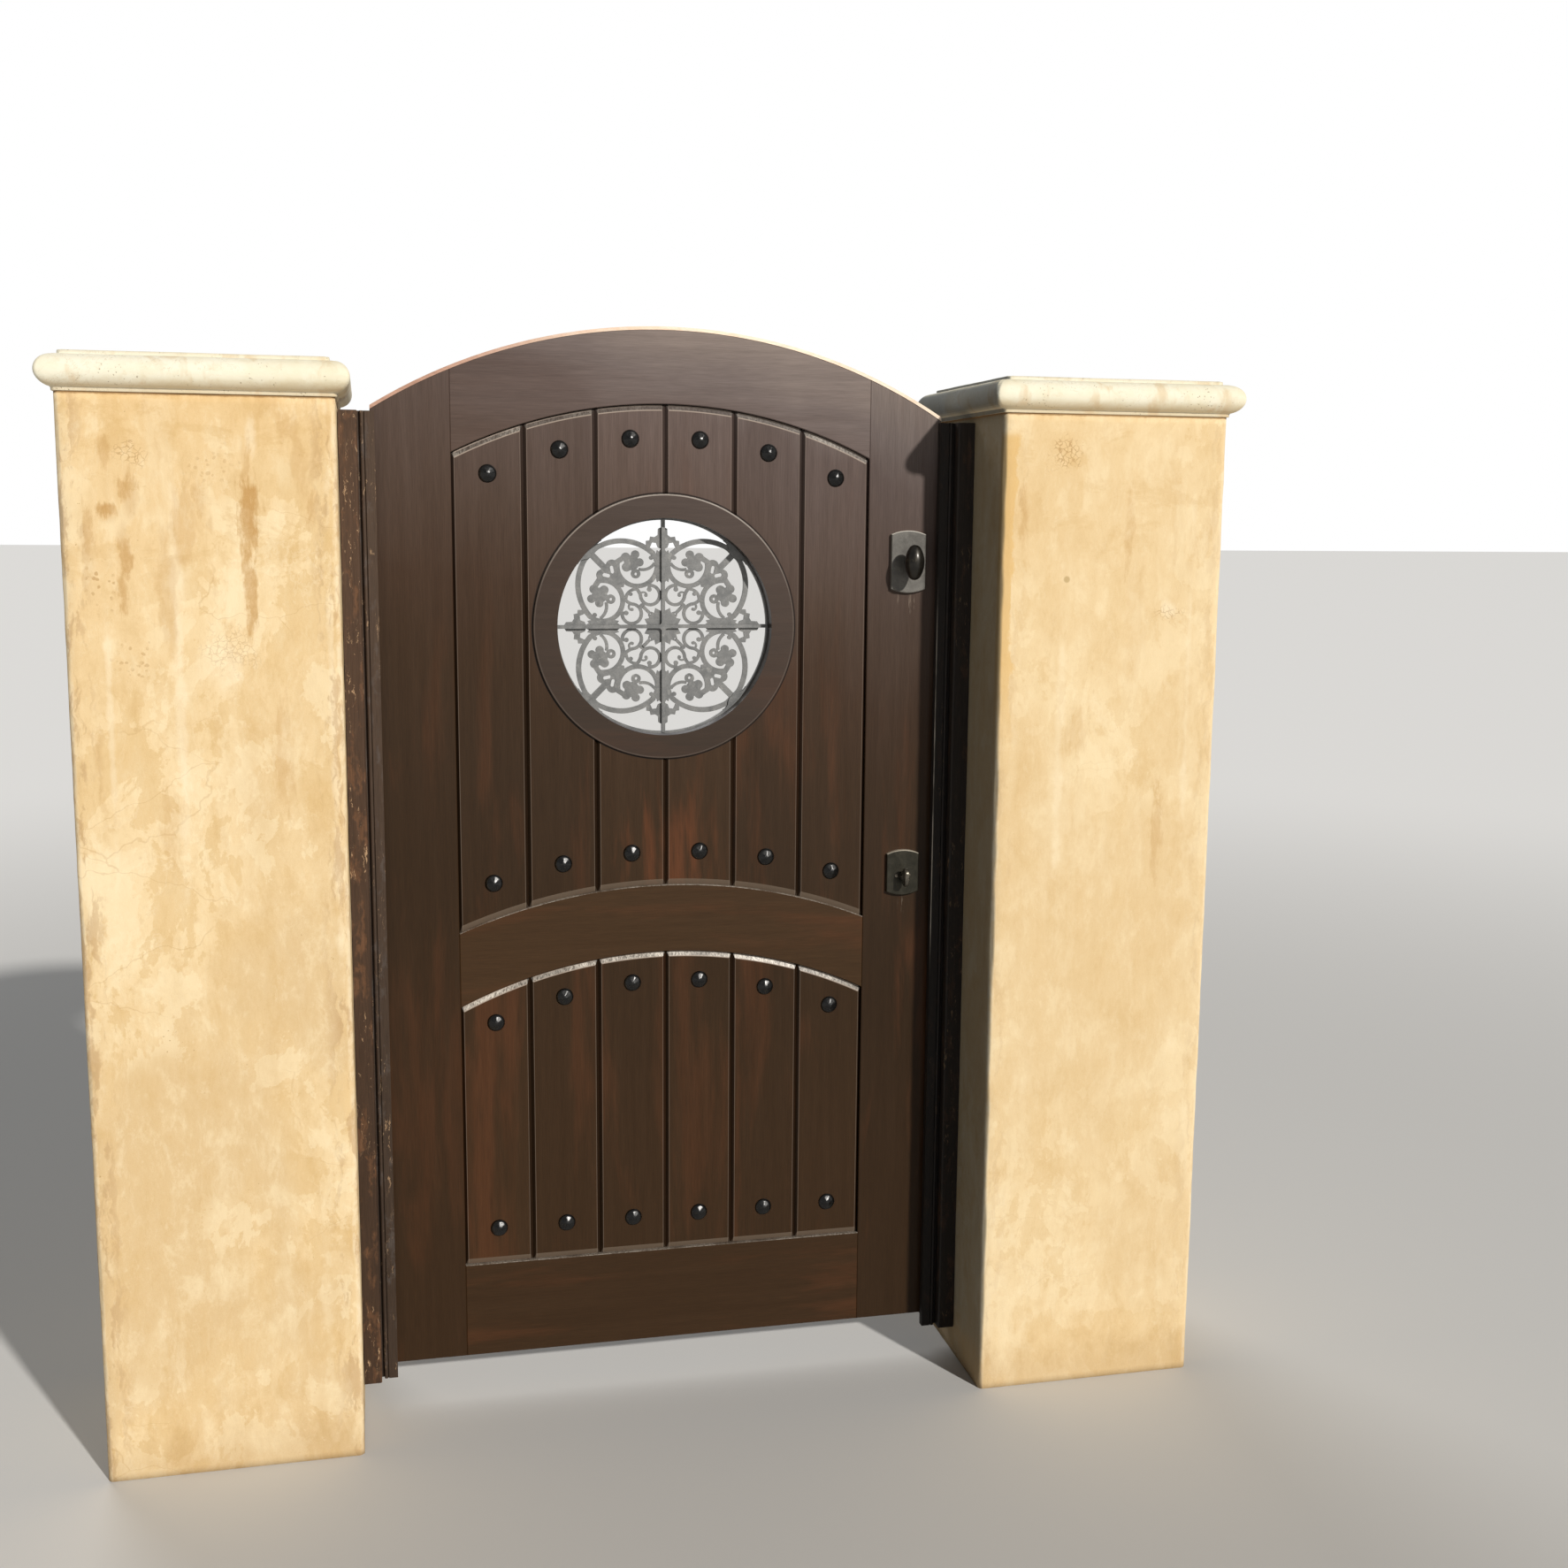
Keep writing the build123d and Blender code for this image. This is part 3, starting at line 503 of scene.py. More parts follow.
def stucco(name, pier, seed, general, marks, right):
    """Warm cream stucco with stains, run-off streaks, patches, crazing and pits.

    general is the strength of the marks that marks doesn't place. The right pier's side towards the gate gets
    a painted shade.
    """
    finish = Finish(name, roughness=0.88, specular=0.2)
    shift = (seed * 3.7, seed * 2.9, seed * 1.3)
    ragged = finish.warped(24, 0.03, shift)
    clouds = finish.noise(2.6, 4, 0.55, (1, 1, 0.6), shift, 0.3)
    mottle = finish.noise(15, 6, 0.68, (1, 1, 0.55), shift, 0.25)
    flecks = finish.noise(60, 5, 0.7, (1, 1, 0.6), shift, 0.2)
    columns = finish.noise(17, 5, 0.62, (1, 1, 0.1), shift, 0.2, ragged)
    runs = finish.noise(12, 4, 0.55, (1, 1, 0.18), shift, 0.2, ragged)
    sand = finish.noise(1150, 2, 0.6, (1, 1, 1), shift)
    threads = finish.noise(70, 4, 0.65, (1, 1, 0.12), shift, 0.2, ragged)
    contrast = 0.55 + 0.45 * general
    deep, pale = ((233, 204, 156), (244, 221, 178)) if right else ((235, 204, 154), (244, 219, 174))
    colour = finish.blend(finish.band(clouds, 0.3, 0.7), srgb(*deep), srgb(*pale))
    # Darker in clouds towards the bottom
    low_darkening = finish.times(finish.band(finish.z, 1.55, 1.1, 0.0, 0.5), finish.band(clouds, 0.56, 0.42))
    colour = finish.paint(colour, (217, 189, 145), low_darkening, general)
    for tint, pattern, faint, full, share in (
        ((219, 185, 131), mottle, 0.48, 0.7, 0.62),
        ((250, 231, 192), mottle, 0.49, 0.33, 0.55),
        ((217, 183, 130), flecks, 0.52, 0.68, 0.26),
        ((252, 236, 202), flecks, 0.46, 0.3, 0.24),
        ((252, 235, 199), columns, 0.52, 0.68, 0.3),
        ((222, 190, 138), columns, 0.46, 0.32, 0.22),
        ((253, 239, 208), threads, 0.56, 0.72, 0.1),
        ((212, 177, 122), threads, 0.44, 0.3, 0.08),
    ):
        colour = finish.paint(colour, tint, finish.band(pattern, faint, full), share * contrast)
    maps = finish.noise(8, 8, 0.62, (1, 1, 0.7), (shift[1], shift[0], shift[2]), 0.3)
    patches = finish.times(finish.band(maps, 0.52, 0.54), finish.band(clouds, 0.42, 0.56))
    colour = finish.paint(colour, (217, 180, 120), patches, 0.4 * contrast)
    peeled = finish.times(finish.band(maps, 0.455, 0.44), finish.band(clouds, 0.4, 0.5))
    colour = finish.paint(colour, (252, 234, 196), peeled, 0.4 * contrast)
    smears = finish.noise(11, 8, 0.68, (0.7, 1, 1.25), (shift[2], shift[0], shift[1]), 0.35)
    smears = finish.times(finish.band(smears, 0.53, 0.6), finish.band(finish.z, 1.5, 1.75, 0.25, 1.0))
    colour = finish.paint(colour, (214, 177, 118), smears, 0.34 * contrast)
    cracks = finish.cells(3.4, "DISTANCE_TO_EDGE", (0.8, 1, 1.9), shift, finish.warped(9, 0.1, shift))
    cracks = finish.times(finish.band(cracks, 0.006, 0.002), finish.band(clouds, 0.5, 0.56))
    colour = finish.paint(colour, (198, 158, 102), cracks, 0.26 * general)
    tide = finish.apart(finish.noise(7, 6, 0.65, (1, 1, 0.55), shift, 0.3), 0.5)
    tide = finish.times(finish.band(tide, 0.012, 0.004), finish.band(clouds, 0.5, 0.6))
    colour = finish.paint(colour, (253, 238, 206), tide, 0.16)
    wash = finish.times(finish.band(finish.z, 1.78, 1.88), finish.band(mottle, 0.3, 0.62))
    colour = finish.paint(colour, (222, 184, 124), wash, 0.24 * general)
    ragged_edge = finish.sway(flecks, 2.6)
    broken = finish.sway(mottle, 3.0)
    light = finish.spots(marks["streaks"], finish.place, broken, 0.9)
    colour = finish.paint(colour, (253, 238, 207), light, 0.7)
    blots = finish.times(finish.band(runs, 0.6, 0.66), finish.band(finish.z, 0.9, 1.5, 0.15, 0.6))
    blots = finish.times(blots, general)
    halo = finish.times(finish.spots(marks["stains"], finish.place, broken, 1.0), 0.5)
    drips = finish.sway(finish.noise(90, 5, 0.7, (1, 1, 0.22), shift, 0.3), 2.4)
    core = finish.spots(marks["stains"], ragged, finish.plus(drips, -0.06), 0.7)
    core = finish.times(core, finish.band(mottle, 0.3, 0.55, 0.55, 1.0))
    core = finish.times(core, finish.band(flecks, 0.3, 0.6, 0.7, 1.0))
    dark = finish.most(finish.times(blots, 0.5), finish.most(halo, core))
    colour = finish.paint(colour, (196, 151, 90), dark, 0.95)
    specks = finish.band(finish.cells(58, place=ragged, shift=shift), 0.075, 0.045)
    specks = finish.times(specks, finish.band(finish.noise(6, 2, 0.5, shift=shift), 0.56, 0.66))
    colour = finish.paint(colour, (176, 132, 78), specks, 0.6 * general)
    pits = finish.band(finish.cells(95, place=finish.warped(70, 0.008, shift), shift=shift), 0.36, 0.24)
    pits = finish.times(pits, finish.spots(marks["pitting"], ragged, ragged_edge))
    colour = finish.paint(colour, (190, 148, 94), pits, 0.75)
    net = finish.cells(105, "DISTANCE_TO_EDGE", place=finish.warped(90, 0.012, shift))
    net = finish.times(finish.band(net, 0.09, 0.03), finish.spots(marks["crazing"], ragged, ragged_edge))
    colour = finish.paint(colour, (182, 140, 88), net, 0.7)
    across = finish.apart(finish.x, middle_of(*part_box(pier)).x)
    both = finish.least(across, finish.calc("ABSOLUTE", finish.y))
    near = finish.plus(both, finish.sway(mottle, 0.02))
    worn = finish.times(finish.band(near, 0.2135, 0.219), finish.band(flecks, 0.4, 0.6, 0.1, 0.55))
    colour = finish.paint(colour, (250, 234, 202), worn)
    corner_runs = finish.noise(42, 4, 0.6, (1, 1, 0.14), shift, 0.2, ragged)
    corner_runs = finish.times(finish.band(corner_runs, 0.5, 0.6), finish.band(near, 0.165, 0.21))
    colour = finish.paint(colour, (188, 150, 106), corner_runs, 0.5 * general)
    if right:
        wander = finish.sway(mottle, 0.075)
        strip = finish.band(finish.plus(finish.x, wander), 0.627, 0.62)
        strip = finish.times(strip, finish.band(finish.z, 1.2, 1.5))
        strip = finish.times(strip, finish.band(finish.z, 1.888, 1.868))
        strip = finish.times(strip, finish.band(finish.y, -0.2, -0.215))
        colour = finish.paint(colour, (228, 188, 122), strip, 0.75)
        plug = finish.spot((0.73, pier_front, 1.611), (0.0075, 0.02, 0.0075), finish.place)
        colour = finish.paint(colour, (196, 168, 120), plug, 0.8)
        # The side towards the gate darkened: a painted shade
        painted_side_shade = finish.band(finish.facing()[0], -0.25, -0.8)
        colour = finish.blend(painted_side_shade, colour, (0.37, 0.4, 0.46, 1), "MULTIPLY")
    uneven = finish.plus(finish.z, finish.times(flecks, 0.004))
    joint = finish.band(uneven, pier_top - 0.003, pier_top - 0.0005)
    colour = finish.paint(colour, (150, 112, 70), joint, 0.75)
    foot = finish.plus(finish.z, finish.times(mottle, -0.12))
    colour = finish.paint(colour, (190, 158, 112), finish.band(foot, 0.05, -0.045, 0.0, 0.4))
    colour = finish.grain(colour, sand, 0.2, 0.15, 0.2)
    finish.colour(colour)
    finish.roughness(finish.band(mottle, 0.3, 0.7, 0.8, 0.92))
    finish.relief((mottle, 0.0016), (runs, 0.0008), (sand, 0.0003))
    return finish.material


def cast_stone(name, seed, shade_share):
    """Pale cast stone with pits, grime with a painted shade under the roll, and a painted shade where asked
    on its side towards the gate.
    """
    finish = Finish(name, roughness=0.82, specular=0.25)
    shift = (seed * 1.9, seed * 3.3, seed * 2.1)
    clouds = finish.noise(7, 5, 0.6, (1, 1, 1.6), shift, 0.3)
    mottle = finish.noise(46, 5, 0.65, (1, 1, 1), shift, 0.3)
    sand = finish.noise(900, 2, 0.6, (1, 1, 1), shift)
    colour = finish.blend(finish.band(clouds, 0.34, 0.66), srgb(243, 234, 205), srgb(250, 245, 224))
    colour = finish.paint(colour, (230, 214, 178), finish.band(mottle, 0.52, 0.7), 0.35)
    # Darker under the roll: grime and a painted shade
    grime_and_shade_level = finish.plus(finish.z, finish.sway(clouds, 0.03))
    colour = finish.paint(colour, (216, 192, 150), finish.band(grime_and_shade_level, *cap_grime_and_shade, 0.0, 0.5))
    drips = finish.band(finish.noise(19, 4, 0.55, (1, 1, 0.3), shift, 0.4), 0.55, 0.66)
    colour = finish.paint(colour, (222, 192, 146), drips, 0.5)
    on_top = finish.band(finish.z, *cap_flat)
    colour = finish.paint(colour, (220, 210, 186), on_top, 0.5)
    lichen = finish.times(finish.band(mottle, 0.5, 0.72), on_top)
    colour = finish.paint(colour, (176, 166, 142), lichen, 0.4)
    soot = finish.times(finish.band(clouds, 0.5, 0.7), on_top)
    colour = finish.paint(colour, (188, 178, 154), soot, 0.35)
    sparse = finish.band(finish.noise(17, 3, 0.6, shift=shift), 0.52, 0.62)
    pits = finish.band(finish.cells(170, place=finish.warped(60, 0.012, shift)), 0.22, 0.12)
    pits = finish.times(pits, sparse)
    colour = finish.paint(colour, (166, 146, 110), pits, 0.7)
    veins = finish.apart(finish.noise(24, 6, 0.7, (1, 1, 1), shift, 0.5), 0.5)
    veins = finish.times(finish.band(veins, 0.008, 0.002), finish.band(clouds, 0.5, 0.62))
    colour = finish.paint(colour, (196, 172, 130), veins, 0.4)
    # The side towards the gate darkened where asked: a painted shade
    painted_side_shade = finish.times(finish.band(finish.facing()[0], -0.25, -0.8), shade_share)
    colour = finish.blend(painted_side_shade, colour, (0.31, 0.34, 0.4, 1), "MULTIPLY")
    colour = finish.grain(colour, sand, 0.2, 0.15, 0.2)
    finish.colour(colour)
    finish.relief((mottle, 0.0008), (sand, 0.0002), (pits, -0.0006))
    return finish.material


def copper(name):
    finish = Finish(name, roughness=0.42, metallic=0.25, specular=0.5)
    tarnish = finish.noise(26, 5, 0.65, (0.5, 1, 1), (4, 1, 2), 0.8)
    fine = finish.noise(240, 3, 0.6, (0.2, 1, 1), (1, 3, 2))
    # Paler towards the right: a painted sheen over the tarnished copper
    sheen_colour = finish.blend(finish.band(tarnish, 0.36, 0.68), srgb(252, 232, 210), srgb(234, 204, 178))
    dull = finish.blend(finish.band(tarnish, 0.36, 0.68), srgb(206, 164, 142), srgb(166, 126, 106))
    colour = finish.blend(finish.band(finish.x, -0.42, 0.02), dull, sheen_colour)
    colour = finish.paint(colour, (126, 96, 80), finish.band(tarnish, 0.66, 0.78, 0.0, 0.5))
    colour = finish.grain(colour, fine, 0.3, 0.15)
    finish.colour(colour)
    finish.roughness(finish.band(tarnish, 0.3, 0.75, 0.32, 0.55))
    finish.relief((tarnish, 0.0004), (fine, 0.0001))
    return finish.material


def aged_metal(name, seed, dark, light, rough, metallic, grain, dents, rub=None, lacquer=0.0, rim_highlight=None):
    """Cast or wrought metal with an uneven patina, and wax or lacquer over it where given. Upward faces can
    get a pale painted highlight.
    """
    finish = Finish(name, roughness=rough, metallic=metallic, specular=0.5)
    finish.shader.inputs["Coat Weight"].default_value = lacquer
    finish.shader.inputs["Coat Roughness"].default_value = 0.2
    shift = (seed * 1.3, seed * 2.7, seed * 0.9)
    patina = finish.noise(grain, 4, 0.6, (1, 1, 1), shift, 0.6)
    fine = finish.noise(grain * 9, 3, 0.6, (1, 1, 1), shift)
    colour = finish.blend(finish.band(patina, 0.3, 0.7), srgb(*dark), srgb(*light))
    if rub:
        worn = finish.noise(grain * 1.7, 3, 0.6, (1, 1, 1), (shift[1], shift[2], shift[0]))
        colour = finish.paint(colour, rub, finish.band(worn, 0.6, 0.7), 0.5)
    # A pale painted highlight on upward faces
    if rim_highlight:
        colour = finish.paint(colour, rim_highlight, finish.band(finish.facing()[2], 0.3, 0.6, 0.0, 0.9))
    colour = finish.grain(colour, fine, 0.3, 0.18)
    finish.colour(colour)
    finish.roughness(finish.band(patina, 0.3, 0.7, rough - 0.06, rough + 0.1))
    finish.relief((patina, dents), (fine, dents * 0.3))
    return finish.material


def give(material, *names):
    for name in names:
        piece = nodes[name]
        piece.data.materials.clear()
        piece.data.materials.append(material)


def make_piece(name, points, faces, body, slot, material, stands_for=()):
    mesh = bpy.data.meshes.new(name)
    mesh.from_pydata(points, [], faces)
    mesh.update()
    mesh.polygons.foreach_set("use_smooth", [True] * len(mesh.polygons))
    mesh.materials.append(material)
    piece = bpy.data.objects.new(name, mesh)
    bpy.context.scene.collection.objects.link(piece)
    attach(piece, body)
    if stands_for:
        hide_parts(*stands_for)


def merged(parts):
    """One list of points and one of faces from several."""
    points, faces = [], []
    for new_points, new_faces in parts:
        start = len(points)
        points += new_points
        faces += [tuple(start + corner for corner in face) for face in new_faces]
    return points, faces


def turned(angle):
    """The direction at this angle in a plane."""
    return Vector((math.cos(angle), math.sin(angle)))


def middle_of(low, high):
    return Vector(((low.x + high.x) / 2, (low.y + high.y) / 2))


def rounded_square(half, radius, count):
    """Points and outward directions round a square with rounded corners, centred on the origin."""
    straight = half - radius
    ring = []
    for side in range(4):
        turn = Matrix.Rotation(side * math.pi / 2, 2)
        for index in range(1, count):
            along = -straight + 2 * straight * index / count
            ring.append((turn @ Vector((along, -half)), turn @ Vector((0, -1))))
        for index in range(corner_steps + 1):
            out = turned(-math.pi / 2 + index * math.pi / 2 / corner_steps)
            corner = Vector((straight, -straight)) + radius * out
            ring.append((turn @ corner, turn @ out))
    return ring


def lofted(rings):
    """Quads between rings of equal length, with a lid at each end."""
    size = len(rings[0])
    points = [point for ring in rings for point in ring]
    faces = []
    for row in range(len(rings) - 1):
        for index in range(size):
            after = (index + 1) % size
            low, high = row * size, (row + 1) * size
            faces.append((low + index, low + after, high + after, high + index))
    faces.append(tuple(reversed(range(size))))
    faces.append(tuple(range((len(rings) - 1) * size, len(rings) * size)))
    return points, faces


def hollowing(place, scale, seed):
    """A smooth value from 0 to 1 that says how far a surface lies back."""
    return 0.5 + 0.5 * max(-1.0, min(1.0, 1.6 * noise.noise(place * scale + Vector((seed, seed, seed)))))


def hollowed(centre, ring, z, broad, fine, corner, sink=0.0):
    """A ring's points at a height, pushed in by hollows that each have a depth, a scale and a seed.

    The corner's hollows work only where the ring turns. sink is how far a point drops for its depth.
    """
    level = []
    for flat, out in ring:
        place = Vector((*(centre + flat), z))
        depth = broad[0] * hollowing(place, *broad[1:]) + fine[0] * hollowing(place, *fine[1:])
        depth += corner[0] * abs(out.x * out.y) * hollowing(place, *corner[1:])
        spot = centre + flat - out * depth
        level.append((spot.x, spot.y, z - sink * depth))
    return level


def make_pier(side, seed, material):
    low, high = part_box(f"{side}_pier")
    ring = rounded_square((high.x - low.x) / 2, pier_corner_radius, pier_columns)
    rings = []
    for row in range(pier_rows + 1):
        z = low.z + (high.z - low.z) * row / pier_rows
        hollows = (0.0012, 3.5, seed), (0.0007, 22, seed + 5), (0.004, 14, seed + 9)
        rings.append(hollowed(middle_of(low, high), ring, z, *hollows))
    make_piece(f"{side}_pier_stucco", *lofted(rings), "posts", "stucco", material, [f"{side}_pier"])


def cap_profile(foot):
    """Offsets from the pier's face and heights, up the cap's side."""
    middle = foot + cap_neck_height + cap_roll_radius
    profile = [
        (cap_neck_proud - 0.0006, foot),
        (cap_neck_proud, foot + 0.0012),
        (cap_neck_proud, foot + 0.0045),
    ]
    start = math.asin((cap_neck_proud + 0.0012 + cap_roll_inset) / cap_roll_radius)
    for index in range(19):
        angle = start + (math.pi - start) * index / 18
        profile.append((
            -cap_roll_inset + cap_roll_radius * math.sin(angle),
            middle - cap_roll_radius * math.cos(angle),
        ))
    top = middle + cap_roll_radius
    profile += [
        (-cap_table_side + 0.0016, top - 0.0002),
        (-cap_table_side, top + 0.0012),
        (-cap_table_top + 0.0012, top + 0.0058),
        (-cap_table_top - 0.0006, top + 0.0069),
    ]
    return profile + [(offset, top + 0.007) for offset in (-cap_table_top - 0.004, -0.05, -0.12, -0.19)]


def make_cap(side, seed, material):
    low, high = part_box(f"{side}_pier_cap")
    pier_low, pier_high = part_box(f"{side}_pier")
    pier_half = (pier_high.x - pier_low.x) / 2
    rings = []
    for offset, z in cap_profile(low.z):
        half = pier_half + offset
        ring = rounded_square(half, min(0.007, half * 0.4), cap_columns)
        hollows = (0.0010, 8, seed), (0.0004, 45, seed + 3), (0.003, 25, seed + 2)
        sink = 0.4 if z > low.z + 0.02 else 0.0
        rings.append(hollowed(middle_of(low, high), ring, z, *hollows, sink))
    cap = f"{side}_pier_cap"
    make_piece(f"{cap}_stone", *lofted(rings), "posts", "cast_stone", material, [cap])


def islands(node):
    """The lowest and highest corner of each separate shell of a node."""
    mesh = nodes[node].data
    parent = {}
    keys = {}
    for vertex in mesh.vertices:
        key = tuple(round(value, 6) for value in vertex.co)
        keys.setdefault(key, vertex.index)
        parent[vertex.index] = keys[key]

    def root(index):
        while parent[index] != index:
            parent[index] = parent[parent[index]]
            index = parent[index]
        return index

    for edge in mesh.edges:
        first, second = (root(index) for index in edge.vertices)
        parent[first] = second
    groups = {}
    for vertex in mesh.vertices:
        groups.setdefault(root(vertex.index), []).append(vertex.co)
    boxes = []
    for places in groups.values():
        low = Vector([min(place[axis] for place in places) for axis in range(3)])
        high = Vector([max(place[axis] for place in places) for axis in range(3)])
        boxes.append((low, high))
    return sorted(boxes, key=lambda box: (round(box[0].z, 2), box[0].x))


def domed(spokes, rings):
    """Faces from a point at the top down through rings, with a lid under the last ring."""
    faces = [(0, 1 + spoke, 1 + (spoke + 1) % spokes) for spoke in range(spokes)]
    for row in range(rings - 1):
        for spoke in range(spokes):
            first = 1 + row * spokes + spoke
            second = 1 + row * spokes + (spoke + 1) % spokes
            faces.append((first, first + spokes, second + spokes, second))
    faces.append(tuple(reversed(range(1 + (rings - 1) * spokes, 1 + rings * spokes))))
    return faces


def hammered_dome(low, high, seed):
    """A nail head's dome, cut by flat hammer marks. It stands towards -Y."""
    centre = (low + high) / 2
    radius = (high.x - low.x) / 2
    height = high.y - low.y
    flatness = 0.93
    edge = math.sqrt(0.07)

    def wander(*key):
        return 0.1 * noise.noise(Vector(key))

    marks = [(Vector((0.12 + wander(seed, 1, 2), 0.3 + wander(seed, 3, 4))), 0.95)]
    count = 6 + seed % 2
    for index in range(count):
        uneven = 0.35 * noise.noise(Vector((seed * 1.7, index * 2.3, 5)))
        angle = 2 * math.pi * (index + uneven) / count + seed
        marks.append((turned(angle) * (0.56 + wander(seed * 2.1, index * 3.1, 7)), 0.84))

    def dome(flat):
        return math.sqrt(max(0.0, 1 - flatness * flat.length_squared)) - edge

    def lift(flat):
        rise = dome(flat)
        for spot, share in marks:
            gradient = -flatness / math.sqrt(1 - flatness * spot.length_squared)
            plane = share * dome(spot) + gradient * spot.dot(flat - spot)
            rise = min(rise, max(plane, 0.55 * rise))
        return rise / dome(Vector((0, 0))) * height

    points = [(centre.x, high.y - lift(Vector((0, 0))), centre.z)]
    for row in range(1, dome_rows + 1):
        share = (row / dome_rows) ** 0.9
        for spoke in range(dome_spokes):
            flat = turned(2 * math.pi * spoke / dome_spokes) * share
            rise = 0.0 if row == dome_rows else lift(flat)
            points.append((centre.x + flat.x * radius, high.y - rise, centre.z + flat.y * radius))
    return points, domed(dome_spokes, dome_rows)


def make_clavos(node, seed, material):
    domes = [hammered_dome(low, high, seed + index) for index, (low, high) in enumerate(islands(node))]
    make_piece(f"{node}_hammered", *merged(domes), "leaf", "black_iron", material, [node])


def screw_head(seat, outward, radius, height, slot_angle):
    """A slotted screw head with a low crown, seated on a face that looks outward."""
    turn = outward.to_track_quat("Z", "Y").to_matrix()
    slot = turned(slot_angle)

    def place(flat, rise):
        return seat + turn @ Vector((flat.x * radius, flat.y * radius, rise))

    def lift(flat):
        rise = height * math.sqrt(max(0.0, 1 - 0.8 * flat.length_squared))
        across = abs(flat.x * slot.y - flat.y * slot.x)
        return rise - 0.5 * height if across < 0.14 else rise

    points = [place(Vector((0, 0)), lift(Vector((0, 0))))]
    for row in range(1, screw_rows + 2):
        share = min(row, screw_rows) / screw_rows
        for spoke in range(screw_spokes):
            flat = turned(2 * math.pi * spoke / screw_spokes) * share
            points.append(place(flat, lift(flat) if row <= screw_rows else 0.0))
    return points, domed(screw_spokes, screw_rows + 1)


def make_screws(name, body, heads, slot, material):
    """One piece of several screw heads, each given by its seat, outward direction, radius and height."""
    parts = [screw_head(*head, 0.5 + 1.4 * index) for index, head in enumerate(heads)]
    make_piece(name, *merged(parts), body, slot, material)


# Finishes of the leaf: one wood for each member, so that its grain and tone differ.
# Each board has its tone, its redness and how strong the pale scuffs and painted highlight on its bevels are.
upper_boards = (
    (1.01, 0.02, 0.36), (1.02, 0.0, 0.22), (1.18, 0.62, 0.13),
    (1.18, 0.55, 0.13), (0.99, 0.14, 0.22), (1.03, 0.12, 0.4),
)
lower_boards = (
    (1.18, 0.14, 1.0), (1.10, 0.06, 1.0), (1.08, 0.04, 1.0),
    (1.08, 0.02, 1.0), (1.04, 0.05, 1.0), (1.08, 0.04, 1.0),
)
for row, boards, seed, arch in (
    ("upper", upper_boards, 3, upper_arch),
    ("lower", lower_boards, 13, lower_arch),
):
    for index, (tone, red, bevels) in enumerate(boards):
        board = f"{row}_board_{index + 1}"
        give(stained_wood(f"{board}_wood", "z", seed + index, tone, red, bevels, "board", arch), board)
give(stained_wood("hinge_stile_wood", "z", 23, 1.01), "hinge_stile")
give(stained_wood("latch_stile_wood", "z", 24, 0.90, 0.1, scratches=latch_scratches), "latch_stile")
give(stained_wood("top_rail_wood", "x", 25, 1.04), "top_rail")
give(stained_wood("middle_rail_wood", "x", 26, 1.54, 0.1, 0.4), "middle_rail")
give(stained_wood("bottom_rail_wood", "x", 27, 1.13, 0.05, 0.34), "bottom_rail")
give(stained_wood("window_ring_wood", "x", 28, 0.87, 0.0, 0.4, "ring"), "window_ring")

# Jambs and stops. The right jamb and stop are darker, greyer copies of the left ones: painted shade.
give(jamb_wood("left_jamb_wood", 2, (68, 50, 37), (87, 65, 49), 0.42), "left_jamb")
give(jamb_wood("right_jamb_wood", 5, (34, 29, 26), (50, 43, 38), 0.12), "right_jamb")
give(jamb_wood("left_stop_wood", 8, (66, 51, 40), (86, 69, 56), 0.3, (100, 95, 93)), "left_stop")
give(jamb_wood("right_stop_wood", 9, (30, 27, 25), (44, 39, 36), 0.05, arris=right_arris), "right_stop")

# Metal parts
give(copper("copper"), "copper_strip")
give(
    aged_metal("cast_grille", 1, (112, 113, 113), (134, 134, 133), 0.5, 0.25, 40, 0.0002, (158, 157, 154)),
    "window_grille",
)
# Lit and shaded copies of one bronze: the knob plates' paler grey is a painted reflection, the turn plates'
# darker tone a painted shade
knob_plate_bronze = aged_metal(
    "knob_plate_bronze", 2, (94, 91, 86), (113, 110, 104), 0.42, 0.12, 45, 0.00008, rim_highlight=(226, 220, 208),
)
give(knob_plate_bronze, "front_knob_plate", "back_knob_plate")
turn_plate_bronze = aged_metal(
    "turn_plate_bronze", 3, (42, 40, 31), (56, 53, 43), 0.36, 0.5, 60, 0.0001, rim_highlight=(208, 198, 180),
)
give(turn_plate_bronze, "front_turn_plate", "back_turn_plate")
give(
    aged_metal("knob_bronze", 4, (33, 31, 27), (50, 47, 41), 0.35, 0.7, 50, 0.00005, (84, 78, 66), 0.3),
    "knob",
)
give(
    aged_metal("thumbturn_bronze", 5, (70, 66, 58), (110, 105, 95), 0.3, 0.7, 80, 0.00005, (150, 144, 130)),
    "thumbturn",
)
give(
    aged_metal("latch_metal", 6, (84, 80, 72), (118, 112, 102), 0.38, 0.8, 90, 0.00006),
    "latch_face_plates", "latch_bolts", "strike_plates",
)
give(
    aged_metal("hinge_metal", 7, (44, 40, 35), (70, 64, 56), 0.45, 0.6, 90, 0.0001),
    "hinge_jamb_leaves", "hinge_gate_leaves", "hinge_pins",
)
hammered_iron = aged_metal(
    "hammered_iron", 8, (8, 8, 9), (17, 17, 17), 0.26, 0.2, 120, 0.0003, (36, 35, 34), 0.1,
)
screw_bronze = aged_metal("screw_bronze", 9, (120, 112, 98), (158, 150, 136), 0.3, 0.8, 200, 0.00003)

